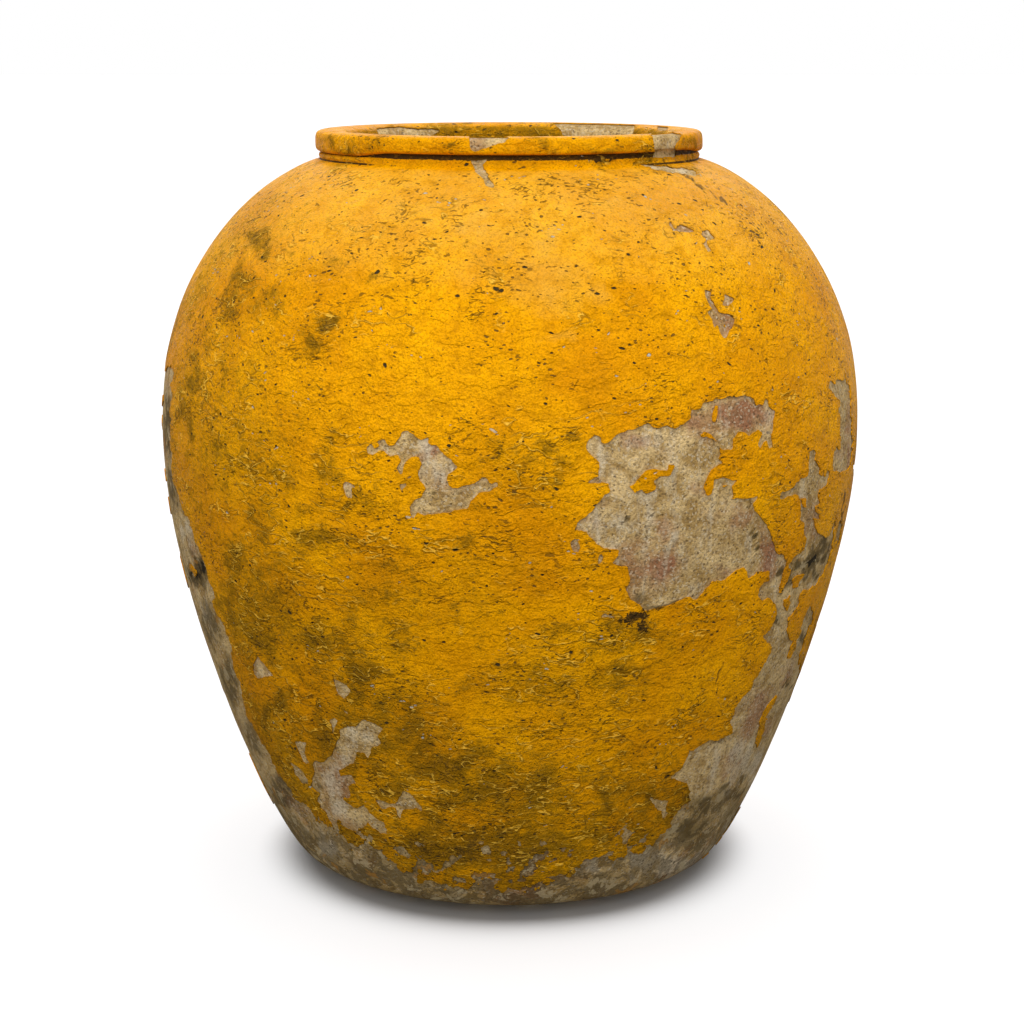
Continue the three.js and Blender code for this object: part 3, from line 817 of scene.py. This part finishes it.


# Grime, sooty stains, wear with a painted sheen on the shoulder, and wrinkles, laid on as soft dabs: middle
# across and down in pixels, half width, half height, and how strong.
GRIME_DABS = (
    (230, 450, 70, 140, 0.4), (260, 620, 70, 90, 0.6), (400, 600, 110, 60, 0.4), (370, 740, 110, 70, 0.65),
    (520, 790, 120, 50, 0.65), (460, 850, 150, 36, 0.9), (640, 790, 70, 40, 0.55), (700, 820, 60, 36, 0.9),
    (560, 680, 110, 50, 0.4), (200, 300, 50, 80, 0.35), (480, 250, 90, 50, 0.1), (570, 310, 60, 40, 0.1),
    (510, 470, 70, 40, 0.35), (640, 640, 46, 24, 0.6), (330, 640, 60, 30, 0.6),
    (262, 250, 14, 10, 0.8), (242, 275, 16, 14, 0.7), (232, 300, 12, 26, 0.6), (260, 300, 26, 20, 0.5),
    (328, 318, 14, 9, 1.0), (312, 338, 16, 12, 0.9), (300, 352, 20, 9, 0.6), (368, 277, 16, 5, 0.6),
    (330, 262, 10, 6, 0.5), (255, 240, 16, 5, 0.7), (300, 215, 25, 8, 0.3), (215, 340, 14, 20, 0.5),
    (192, 375, 9, 26, 0.8), (205, 400, 10, 34, 0.6), (190, 430, 10, 40, 0.7), (225, 440, 16, 40, 0.45),
    (250, 455, 14, 34, 0.5), (272, 420, 10, 40, 0.35), (290, 470, 30, 16, 0.5), (330, 460, 16, 26, 0.6),
    (345, 505, 7, 18, 0.8), (322, 500, 20, 12, 0.5), (260, 520, 22, 20, 0.55), (240, 560, 18, 26, 0.7),
    (235, 605, 14, 34, 0.8), (255, 640, 18, 22, 0.8), (290, 610, 26, 26, 0.6), (325, 640, 28, 12, 0.8),
    (350, 655, 16, 9, 0.9), (300, 585, 20, 12, 0.5), (375, 600, 26, 18, 0.5), (400, 640, 30, 14, 0.5),
    (420, 560, 26, 16, 0.35), (345, 540, 20, 14, 0.5), (540, 450, 16, 18, 0.7), (560, 470, 14, 10, 0.5),
    (500, 455, 20, 8, 0.4), (470, 505, 20, 10, 0.4), (520, 570, 30, 14, 0.3), (575, 440, 6, 10, 0.6),
    (290, 700, 24, 20, 0.8), (320, 730, 18, 18, 0.7), (270, 720, 12, 30, 0.9), (360, 690, 26, 16, 0.7),
    (385, 700, 20, 10, 0.7), (400, 740, 24, 18, 0.8), (430, 765, 34, 24, 1.0), (395, 790, 24, 14, 0.8),
    (470, 750, 26, 16, 0.8), (480, 790, 40, 20, 0.9), (440, 820, 22, 12, 0.9), (380, 850, 50, 18, 0.8),
    (430, 860, 50, 14, 0.9), (530, 770, 20, 10, 0.6), (545, 785, 14, 7, 0.9), (520, 810, 30, 12, 0.7),
    (575, 800, 20, 12, 0.6), (610, 805, 18, 14, 0.8), (630, 770, 14, 10, 0.5), (560, 850, 40, 12, 0.7),
    (500, 860, 40, 14, 0.9), (600, 840, 30, 12, 0.7), (560, 680, 26, 14, 0.45), (590, 660, 14, 14, 0.5),
    (640, 680, 16, 10, 0.5), (700, 700, 12, 20, 0.4), (480, 680, 24, 14, 0.4), (450, 720, 24, 12, 0.6),
    (520, 730, 30, 10, 0.4), (650, 800, 14, 12, 0.9), (700, 795, 26, 10, 1.0), (690, 825, 24, 16, 0.9),
    (660, 845, 26, 10, 0.7), (725, 790, 12, 10, 0.9), (310, 540, 30, 18, 0.7), (360, 675, 26, 16, 0.85),
    (560, 632, 34, 14, 0.55), (610, 676, 30, 14, 0.6), (460, 765, 26, 18, 0.95), (362, 492, 20, 14, 0.7),
    (470, 540, 30, 14, 0.45), (335, 142, 16, 7, 0.5), (362, 146, 24, 5, 0.4), (452, 144, 12, 5, 0.55),
    (548, 147, 20, 6, 0.45), (600, 148, 26, 6, 0.45), (640, 150, 16, 8, 0.55), (690, 146, 9, 9, 0.5),
    (330, 165, 16, 8, 0.4), (690, 163, 14, 5, 0.6), (610, 162, 12, 3, 0.6), (650, 160, 30, 4, 0.4),
)
SOOT_DABS = (
    (640, 622, 24, 10, 1.1), (654, 612, 18, 7, 1.0), (678, 604, 18, 4, 0.7), (630, 632, 14, 8, 1.1),
    (648, 632, 12, 8, 1.1), (603, 158, 10, 5, 1.2), (616, 161, 10, 3, 0.9),
    (815, 556, 5, 14, 1.0), (810, 575, 5, 8, 0.8), (203, 572, 9, 14, 1.0), (195, 545, 5, 12, 0.7),
    (330, 316, 9, 5, 0.5), (693, 596, 6, 4, 0.6), (470, 762, 8, 6, 0.5), (545, 786, 9, 4, 0.6),
    (390, 818, 10, 4, 0.7), (425, 832, 12, 5, 0.6), (655, 808, 7, 6, 0.8), (700, 800, 18, 5, 0.6),
)
# Pale dabs on the shoulder: partly wear, partly a painted sheen where the light falls on it.
WEAR_AND_SHEEN_DABS = (
    (470, 230, 34, 18, 0.7), (545, 245, 30, 16, 0.6), (590, 290, 18, 22, 0.5), (555, 232, 12, 8, 0.8),
    (550, 275, 60, 46, 0.55), (465, 265, 44, 44, 0.4), (560, 345, 16, 10, 0.5), (430, 200, 30, 10, 0.4),
    (510, 265, 30, 14, 0.5), (615, 205, 26, 14, 0.6),
)
WRINKLE_DABS = (
    (640, 650, 70, 34, 1.0), (740, 640, 34, 50, 0.9), (700, 720, 40, 30, 0.6), (390, 556, 50, 14, 0.9),
    (300, 680, 40, 60, 0.7), (330, 620, 50, 30, 0.5), (440, 700, 60, 40, 0.5), (540, 690, 60, 30, 0.7),
    (480, 800, 90, 40, 0.8), (600, 790, 70, 40, 0.8), (240, 560, 30, 60, 0.4), (560, 580, 60, 30, 0.4),
    (690, 610, 40, 14, 0.8), (560, 740, 60, 30, 0.6),
)
COAT_STRAY = 15
COAT_STRAY_SIZE = 30 * MM
DRIFT_SIZE = 90 * MM
# The coat darkens towards the bottom between these heights: olive grime from the ground, and painted shade
# on the lower body.
GRIME_AND_SHADE_TOP = 270 * MM
GRIME_AND_SHADE_FULL = 20 * MM
DARK_SIDE_FROM = -80 * MM
DARK_SIDE_FULL = -260 * MM
# The coat grows paler towards the rim between these heights: partly bleaching, partly a painted sheen on the
# shoulder.
SHEEN_AND_BLEACH = 0.48
SHEEN_AND_BLEACH_FROM = 440 * MM
SHEEN_AND_BLEACH_FULL = 560 * MM
SHEEN_AND_BLEACH_TOP = 578 * MM
EDGE_WIDTH = 8
HAIRLINE_STRAY = 2.5
HAIRLINE_STRAY_SIZE = 8 * MM


def mark_weather(piece, bareness_of, more_grime=0, painted_shade=0):
    """Marks a sheet of coat with its edges, hairlines, grime and painted shade towards the bottom, sooty
    stains and painted shade in the rim's groove, and wear and a painted sheen on the shoulder.
    """
    spots = spots_of(piece)
    seen = seen_at(spots)
    front = np.clip(faces_eye(spots) * 4, 0, 1)
    height = spots[:, 2]
    strayed = seen + COAT_STRAY * np.column_stack((
        ragged(spots, COAT_STRAY_SIZE, 11.0), ragged(spots, COAT_STRAY_SIZE, 17.0)))
    drift = 0.35 * ragged(spots, DRIFT_SIZE, 2.0) + 0.3 * ragged(spots, COAT_STRAY_SIZE, 13.0)
    # Darker towards the bottom: grime, and painted shade on the lower body.
    low = ease(GRIME_AND_SHADE_TOP, GRIME_AND_SHADE_FULL, height)
    left = ease(DARK_SIDE_FROM, DARK_SIDE_FULL, spots[:, 0]) * front
    unseen = np.clip(0.16 + drift + 0.4 * low, 0, 0.9)
    grime = np.maximum(dabbed(strayed, GRIME_DABS), 0.6 * low + 0.3 * left)
    mark(piece, "grime", np.maximum(grime * front + unseen * (1 - front), more_grime))
    # The second value holds sooty stains and, on the rim, the painted shade of its groove.
    mark(piece, "soot_and_shade", np.maximum(dabbed(strayed, SOOT_DABS) * front, painted_shade))
    sheen_and_bleach = SHEEN_AND_BLEACH * ease(SHEEN_AND_BLEACH_FROM, SHEEN_AND_BLEACH_FULL, height)
    sheen_and_bleach *= ease(SHEEN_AND_BLEACH_TOP, SHEEN_AND_BLEACH_TOP - 4 * MM, height)
    mark(piece, "wear_and_sheen", np.maximum(dabbed(strayed, WEAR_AND_SHEEN_DABS) * front, sheen_and_bleach))
    mark(piece, "wrinkled", dabbed(strayed, WRINKLE_DABS) * front + 0.6 * low * (1 - front))
    mark(piece, "broken_edge", np.clip(1 + bareness_of(spots) / EDGE_WIDTH, 0, 1))
    jagged = seen + HAIRLINE_STRAY * np.column_stack((
        ragged(spots, HAIRLINE_STRAY_SIZE, 23.0), ragged(spots, HAIRLINE_STRAY_SIZE, 29.0)))
    mark(piece, "hairline", np.where(front > 0, gap_to_lines(jagged, HAIRLINES), FAR))


# Old oil paint, brushed on thick: a deep amber yellow, half dull, dried into fine ridges and terraces,
# with brown crazes, pits down to the clay, and olive grime. Highlights on the ridge crests and on the tips,
# and shade under the ridges and in the hollows, are painted into its colour.
paint = bpy.data.materials.new("crazed_yellow_oil_paint")
paint.use_nodes = True
grime_and_shade_here, soot_and_shade_here, wear_and_sheen_here, wrinkles_here, edge_here, line_here = (
    add_node(paint, "ShaderNodeAttribute", attribute_name=name).outputs["Fac"]
    for name in ("grime", "soot_and_shade", "wear_and_sheen", "wrinkled", "broken_edge", "hairline"))
place = add_node(paint, "ShaderNodeTexCoord").outputs["Object"]
sway = add_node(paint, "ShaderNodeTexNoise", {"Vector": place, "Scale": 1 / (20 * MM), "Detail": 3.0})
swayed = add_node(paint, "ShaderNodeVectorMath",
                  {0: sway.outputs["Color"], 1: (12 * MM, 12 * MM, 12 * MM), 2: place},
                  operation="MULTIPLY_ADD").outputs["Vector"]
tilted, drawn_out = (
    add_node(paint, "ShaderNodeMapping",
             {"Vector": swayed, "Rotation": (0.0, tilt, 0.0), "Scale": squeeze}).outputs["Vector"]
    for tilt, squeeze in ((0.45, (0.75, 0.9, 1.4)), (-0.3, (0.42, 0.55, 1.3))))

# Each pattern of the paint: what it is laid on, the size of its largest marks, detail, roughness, twist.
tone, patch, blotch, tooth, grain, strokes, folds, wheres = (
    add_node(paint, "ShaderNodeTexNoise",
             {"Vector": laid_on, "Scale": 1 / size, "Detail": detail, "Roughness": coarse,
              "Distortion": twist})
    for laid_on, size, detail, coarse, twist in (
        (place, 75 * MM, 4.0, 0.6, 0.0),
        (place, 30 * MM, 6.0, 0.62, 0.7),
        (swayed, 14 * MM, 6.0, 0.66, 0.0),
        (tilted, 4.5 * MM, 4.0, 0.66, 0.0),
        (place, 1.6 * MM, 2.0, 0.6, 0.0),
        (drawn_out, 2.2 * MM, 1.0, 0.4, 0.0),
        (drawn_out, 11 * MM, 2.0, 0.45, 0.0),
        (place, 35 * MM, 3.0, 0.5, 0.0)))
tone, patch, blotch, tooth, grain, strokes = (
    pattern.outputs["Fac"] for pattern in (tone, patch, blotch, tooth, grain, strokes))
pits, fine_pits = (
    add_node(paint, "ShaderNodeTexVoronoi", {"Vector": tilted, "Scale": 1 / size})
    for size in (11 * MM, 5.5 * MM))
fold, where, pit_luck = (
    add_node(paint, "ShaderNodeSeparateColor", {"Color": pattern.outputs["Color"]}).outputs
    for pattern in (folds, wheres, pits))

# Ridges, the painted shade under them and crazes run along the lines where a fold's value passes the middle.
# Each ridge both raises the surface and carries a painted highlight. They stand where the grime mark is
# strong and where the coat has wrinkled.
ridge_sum, craze_sum = where["Red"], where["Green"]
for part, ridge_weight, craze_weight in ((grime_and_shade_here, 0.2, 0.1), (wrinkles_here, 0.15, 0.12)):
    ridge_sum = add_node(paint, "ShaderNodeMath", {0: part, 1: ridge_weight, 2: ridge_sum},
                         operation="MULTIPLY_ADD").outputs["Value"]
    craze_sum = add_node(paint, "ShaderNodeMath", {0: part, 1: craze_weight, 2: craze_sum},
                         operation="MULTIPLY_ADD").outputs["Value"]
folded = []
for value, middle, wide, narrow, stands, thin, thick in (
        (fold["Red"], 0.5, 0.016, 0.004, ridge_sum, 0.56, 0.65),
        (fold["Red"], 0.532, 0.02, 0.006, ridge_sum, 0.56, 0.65),
        (fold["Green"], 0.5, 0.012, 0.002, craze_sum, 0.56, 0.66)):
    side = add_node(paint, "ShaderNodeMath", {0: value, 1: middle}, operation="SUBTRACT")
    gap = add_node(paint, "ShaderNodeMath", {0: side.outputs["Value"]}, operation="ABSOLUTE")
    line = add_node(paint, "ShaderNodeMapRange",
                    {"Value": gap.outputs["Value"], "From Min": wide, "From Max": narrow})
    stand = add_node(paint, "ShaderNodeMapRange", {"Value": stands, "From Min": thin, "From Max": thick})
    folded.append(add_node(paint, "ShaderNodeMath",
                           {0: line.outputs["Result"], 1: stand.outputs["Result"]},
                           operation="MULTIPLY").outputs["Value"])
ridge, under, craze = folded
terrace = add_node(paint, "ShaderNodeMapRange",
                   {"Value": fold["Blue"], "From Min": 0.485, "From Max": 0.515}).outputs["Result"]

# Pits: single large ones, and fine ones in swarms. One in ten goes down to pale clay.
pit_reach = add_node(paint, "ShaderNodeMath", {0: pit_luck["Red"], 1: -0.1, 2: pits.outputs["Distance"]},
                     operation="MULTIPLY_ADD")
pit_share = add_node(paint, "ShaderNodeMapRange",
                     {"Value": pit_reach.outputs["Value"], "From Min": 0.05, "From Max": 0.01})
fine_reach = add_node(paint, "ShaderNodeMath", {0: where["Blue"], 1: -0.6, 2: fine_pits.outputs["Distance"]},
                      operation="MULTIPLY_ADD")
fine_share = add_node(paint, "ShaderNodeMapRange",
                      {"Value": fine_reach.outputs["Value"], "From Min": -0.16, "From Max": -0.21,
                       "To Max": 0.75})
pitted = add_node(paint, "ShaderNodeMath",
                  {0: pit_share.outputs["Result"], 1: fine_share.outputs["Result"]},
                  operation="MAXIMUM").outputs["Value"]
pit_pale = add_node(paint, "ShaderNodeMath", {0: pit_luck["Green"], 1: 0.9}, operation="GREATER_THAN")
pit_colour = add_node(paint, "ShaderNodeMix",
                      {"Factor": pit_pale.outputs["Value"], 6: srgb("#3E3420"), 7: srgb("#C2BAA6")},
                      data_type="RGBA").outputs[2]

# What the layers below are driven by: how rough the coat is, which also sets how much painted shade the
# hollows and painted highlight the tips get, where wear and the painted sheen lie, the mottling that grime
# and sooty stains keep to, and the short dark strokes, which places with wear and grime have more of.
rough_sum = add_node(paint, "ShaderNodeMath", {0: grime_and_shade_here, 1: 0.6, 2: where["Blue"]},
                     operation="MULTIPLY_ADD")
rough = add_node(paint, "ShaderNodeMapRange",
                 {"Value": rough_sum.outputs["Value"], "From Min": 0.5, "From Max": 0.85,
                  "To Min": 0.25, "To Max": 1.0}).outputs["Result"]
hollow_shade_most, tip_highlight_most = (
    add_node(paint, "ShaderNodeMath", {0: rough, 1: most}, operation="MULTIPLY").outputs["Value"]
    for most in (0.75, 0.5))
wear_and_sheen = add_node(paint, "ShaderNodeMath", {0: wear_and_sheen_here, 1: blotch}, operation="MULTIPLY").outputs["Value"]
mottle = blotch
for part, weight in ((grain, 0.9), (tooth, 1.0), (patch, 0.6)):
    mottle = add_node(paint, "ShaderNodeMath", {0: part, 1: weight, 2: mottle},
                      operation="MULTIPLY_ADD").outputs["Value"]
film, soot_and_shade = (
    add_node(paint, "ShaderNodeMath", {0: part, 1: weight, 2: mottle},
             operation="MULTIPLY_ADD").outputs["Value"]
    for part, weight in ((grime_and_shade_here, 0.75), (soot_and_shade_here, 0.9)))
for part, weight in ((where["Green"], -0.5), (wear_and_sheen_here, -0.1), (grime_and_shade_here, -0.08)):
    strokes = add_node(paint, "ShaderNodeMath", {0: part, 1: weight, 2: strokes},
                       operation="MULTIPLY_ADD").outputs["Value"]

# The paint's layers, from the yellow up: a value, where it starts to show and is full, how much it covers
# at most, and its colour. They are dark grain, blotches, painted shade in hollows, wear with painted sheen,
# film and dirt of grime with painted shade towards the bottom, sooty stains with the painted shade of the
# rim's groove, painted highlights on tips, strokes, painted shade under ridges, painted highlights on
# crests, pits, crazes, hairlines and the broken edge.
tone_share = add_node(paint, "ShaderNodeMapRange", {"Value": tone, "From Min": 0.36, "From Max": 0.64})
yellow = add_node(paint, "ShaderNodeMix",
                  {"Factor": tone_share.outputs["Result"], 6: srgb("#E39400"), 7: srgb("#FAAF00")},
                  data_type="RGBA").outputs[2]
for value, shows, full, most, colour in (
        (grain, 0.54, 0.36, 0.6, srgb("#B57700")),
        (blotch, 0.5, 0.34, 0.55, srgb("#B97A00")),
        (tooth, 0.48, 0.34, hollow_shade_most, srgb("#8A6006")),
        (wear_and_sheen, 0.1, 0.5, 0.6, srgb("#D9AE54")),
        (film, 1.98, 2.24, 0.75, srgb("#6C520C")),
        (film, 2.34, 2.56, 0.8, srgb("#3D311A")),
        (soot_and_shade, 2.3, 2.48, 0.95, srgb("#2A2115")),
        (tooth, 0.54, 0.67, tip_highlight_most, srgb("#E4A21C")),
        (strokes, 0.035, -0.01, 0.7, srgb("#5C4110")),
        (under, 0.0, 1.0, 0.55, srgb("#6B4808")),
        (ridge, 0.0, 1.0, 0.65, srgb("#FFC846")),
        (pitted, 0.0, 1.0, 1.0, pit_colour),
        (craze, 0.0, 1.0, 0.6, srgb("#6A4A12")),
        (line_here, 1.3, 0.4, 0.75, srgb("#3C2E16")),
        (edge_here, 0.7, 1.0, 0.25, srgb("#8A5E14"))):
    share = add_node(paint, "ShaderNodeMapRange",
                     {"Value": value, "From Min": shows, "From Max": full, "To Max": most})
    yellow = add_node(paint, "ShaderNodeMix", {"Factor": share.outputs["Result"], 6: yellow, 7: colour},
                      data_type="RGBA").outputs[2]
dull = add_node(paint, "ShaderNodeMapRange",
                {"Value": film, "From Min": 1.7, "From Max": 2.3, "To Min": 0.38, "To Max": 0.75})
height = add_node(paint, "ShaderNodeMath", {0: tooth, 1: rough}, operation="MULTIPLY").outputs["Value"]
for part, weight in (
        (blotch, 1.2), (ridge, 0.3), (terrace, 0.16), (grain, 0.35), (pitted, -0.5), (craze, -0.3)):
    height = add_node(paint, "ShaderNodeMath", {0: part, 1: weight, 2: height},
                      operation="MULTIPLY_ADD").outputs["Value"]
wrinkled = add_node(paint, "ShaderNodeBump", {"Height": height, "Strength": 1.0, "Distance": 3 * MM})
paint_shader = paint.node_tree.nodes["Principled BSDF"]
paint_shader.inputs["IOR"].default_value = 1.48
paint_shader.inputs["Specular IOR Level"].default_value = 0.03
paint.node_tree.links.new(yellow, paint_shader.inputs["Base Color"])
paint.node_tree.links.new(dull.outputs["Result"], paint_shader.inputs["Roughness"])
paint.node_tree.links.new(wrinkled.outputs["Normal"], paint_shader.inputs["Normal"])

# Each sheet: where it starts and ends in degrees round from the front, the spacing of its mesh, and how
# far its broken edge is torn, in pixels.
SHEETS = {"body_coat_front": (-100, 100, 3.9 * MM, 1.8), "body_coat_back": (100, 260, 4.0 * MM, 5.0)}
COAT_FOOT = 9 * MM
COAT_CREASE = math.radians(50)
for sheet_name, (start, end, spacing, tear) in SHEETS.items():
    up_wall = wall_line(COAT_FOOT, NECK_HEIGHT, 0, spacing)
    across = round(math.radians(end - start) * BELLY_RADIUS / spacing)
    bpy.ops.object.select_all(action="DESELECT")
    bpy.ops.mesh.primitive_grid_add(x_subdivisions=across, y_subdivisions=len(up_wall) - 1, size=2)
    sheet = bpy.context.object
    sheet.name = sheet_name
    sheet.data.name = sheet_name
    flat_spots = spots_of(sheet)
    turn = np.radians((start + end) / 2 + flat_spots[:, 0] * (end - start) / 2)
    row = np.rint((flat_spots[:, 1] + 1) / 2 * (len(up_wall) - 1)).astype(int)
    radius = up_wall[row, 0]
    move_to(sheet, np.column_stack((radius * np.sin(turn), -radius * np.cos(turn), up_wall[row, 1])))
    flake_off(sheet, body_bareness, tear)
    mark_weather(sheet, body_bareness)
    push_out(sheet, swell(spots_of(sheet)))
    bpy.ops.object.shade_smooth_by_angle(angle=COAT_CREASE)
    sheet.data.materials.append(paint)
    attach(sheet, "root")
    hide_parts("body_coat")

# The coat on the rim: the same paint, carried from the shoulder up the collar, over the roll and a
# little way down the mouth. It is knocked off at the front, at the right and inside the far lip.
RIM_CHIPS = {
    "front": (
        (469, 135), (471, 149), (475, 152), (488, 147), (504, 142), (509, 138), (495, 132), (472, 132)),
    "tongue": ((470, 160), (486, 160), (482, 165), (487, 172), (478, 174), (475, 169)),
    "right": (
        (650, 128), (668, 130), (682, 134), (677, 147), (677, 157), (652, 158), (656, 150), (653, 138)),
    "smear": ((634, 163), (665, 166), (694, 169), (683, 173), (658, 170)),
}
FAR_CHIPS = {
    "far": ((553, 123), (590, 121), (636, 123), (633, 136), (600, 137), (565, 137), (560, 130)),
    "far_right": ((658, 124), (669, 125), (668, 131), (659, 130)),
    "far_left": ((375, 128), (398, 126), (440, 130), (432, 137), (400, 137), (380, 136)),
}
NEAR_CHIPS_OUTSIDE = 132 * MM
FAR_CHIPS_INSIDE = 140 * MM
RIM_TEAR = 1.2


def rim_bareness(spots):
    """Pixels that each spot of the rim lies inside a chip."""
    seen = seen_at(spots)
    bare = np.full(len(spots), -FAR)
    radius = np.hypot(spots[:, 0], spots[:, 1])
    near = (spots[:, 1] < 0) & (radius > NEAR_CHIPS_OUTSIDE)
    for outline in RIM_CHIPS.values():
        bare[near] = np.maximum(bare[near], depth_inside(seen[near], outline))
    far = (spots[:, 1] > 0) & (radius < FAR_CHIPS_INSIDE)
    for outline in FAR_CHIPS.values():
        bare[far] = np.maximum(bare[far], depth_inside(seen[far], outline))
    return bare


rim_coat = lay_rim("rim_coat", 0, 2)
flake_off(rim_coat, rim_bareness, RIM_TEAR)

# Painted shade: the groove under the roll and the angle below the bead are painted dark brown, most at the
# sides, as the shade that falls there, and grime lies in the mouth. Radii, heights and distances from the
# middle are in millimetres.
rim_spots = spots_of(rim_coat)
rim_radius = np.hypot(rim_spots[:, 0], rim_spots[:, 1]) / MM
rim_height = rim_spots[:, 2] / MM
groove_shade = ease(152.6, 150.8, rim_radius) * ease(581.2, 583.6, rim_height) * ease(590, 587.5, rim_height)
under_bead_shade = ease(579.0, 577.9, rim_height) * ease(576.2, 577.2, rim_height)
at_sides = ease(95, 115, np.abs(rim_spots[:, 0]) / MM)
in_mouth = ease(134, 127, rim_radius)
rim_painted_shade = np.maximum(1.15 * groove_shade, (0.4 + 0.7 * at_sides) * under_bead_shade) * (rim_radius > 140)
mark_weather(rim_coat, rim_bareness, 0.6 * in_mouth, rim_painted_shade)
push_out(rim_coat, swell(spots_of(rim_coat)))
bpy.ops.object.shade_smooth_by_angle(angle=COAT_CREASE)
rim_coat.data.materials.append(paint)
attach(rim_coat, "root")
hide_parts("rim_coat")

# The studio: a plain white floor and a pale horizon. Three broad lights, in front, overhead and behind,
# fall on the jar alone, and a fourth on the floor alone, where only the foot throws a soft shadow.
bpy.ops.object.select_all(action="DESELECT")
bpy.ops.mesh.primitive_plane_add(size=80)
studio_floor = bpy.context.object
studio_floor.name = "studio_floor"
studio_floor.visible_diffuse = False
studio_floor.visible_glossy = False
chalk = bpy.data.materials.new("matt_white_floor_paint")
chalk.use_nodes = True
chalk_shader = chalk.node_tree.nodes["Principled BSDF"]
chalk_shader.inputs["Base Color"].default_value = srgb("#D2D2D3")
chalk_shader.inputs["Roughness"].default_value = 0.95
chalk_shader.inputs["Specular IOR Level"].default_value = 0.0
studio_floor.data.materials.append(chalk)
jar_only = bpy.data.collections.new("jar_only")
for piece in bpy.data.objects:
    if piece.type == "MESH" and piece != studio_floor:
        jar_only.objects.link(piece)

# Each light on the jar: degrees up from the ground and round to the right, strength, and width in degrees.
LIGHTS = {
    "front_light": (36, -8, 1.55, 30),
    "top_light": (74, 6, 1.6, 26),
    "back_light": (34, 180, 1.0, 50),
}
FLOOR_LIGHT = 4.45
FLOOR_LIGHT_WIDTH = 80
FLOOR_LIGHT_TIP = -24
for light_name, (rise, round_right, strength, width) in LIGHTS.items():
    bpy.ops.object.light_add(type="SUN", location=(0, -2, 3))
    light = bpy.context.object
    light.name = light_name
    light.data.energy = strength
    light.data.angle = math.radians(width)
    light.rotation_euler = (math.radians(90 - rise), 0, math.radians(round_right))
    light.light_linking.receiver_collection = jar_only
floor_only = bpy.data.collections.new("floor_only")
floor_only.objects.link(studio_floor)
bpy.ops.object.light_add(type="SUN", location=(0, 0, 3))
floor_wash = bpy.context.object
floor_wash.name = "floor_wash"
floor_wash.data.energy = FLOOR_LIGHT
floor_wash.data.angle = math.radians(FLOOR_LIGHT_WIDTH)
floor_wash.rotation_euler = (math.radians(FLOOR_LIGHT_TIP), 0, 0)
floor_wash.light_linking.receiver_collection = floor_only
foot_only = bpy.data.collections.new("foot_only")
foot_only.objects.link(floor_slab)
floor_wash.light_linking.blocker_collection = foot_only
sky = bpy.data.worlds.new("studio_air")
sky.use_nodes = True
bpy.context.scene.world = sky
ray = add_node(sky, "ShaderNodeTexCoord").outputs["Generated"]
ray_up = add_node(sky, "ShaderNodeSeparateXYZ", {"Vector": ray}).outputs["Z"]
below = add_node(sky, "ShaderNodeMapRange",
                 {"Value": ray_up, "From Min": -0.32, "From Max": -0.03, "To Min": 0.14, "To Max": 1.0})
above = add_node(sky, "ShaderNodeMapRange",
                 {"Value": ray_up, "From Min": 0.06, "From Max": 0.25, "To Min": 1.0, "To Max": 0.5})
level = add_node(sky, "ShaderNodeMath",
                 {0: below.outputs["Result"], 1: above.outputs["Result"]}, operation="MINIMUM")
air = sky.node_tree.nodes["Background"]
air.inputs["Color"].default_value = (1, 1, 1, 1)
sky.node_tree.links.new(level.outputs["Value"], air.inputs["Strength"])
bpy.context.scene.view_settings.view_transform = "Standard"
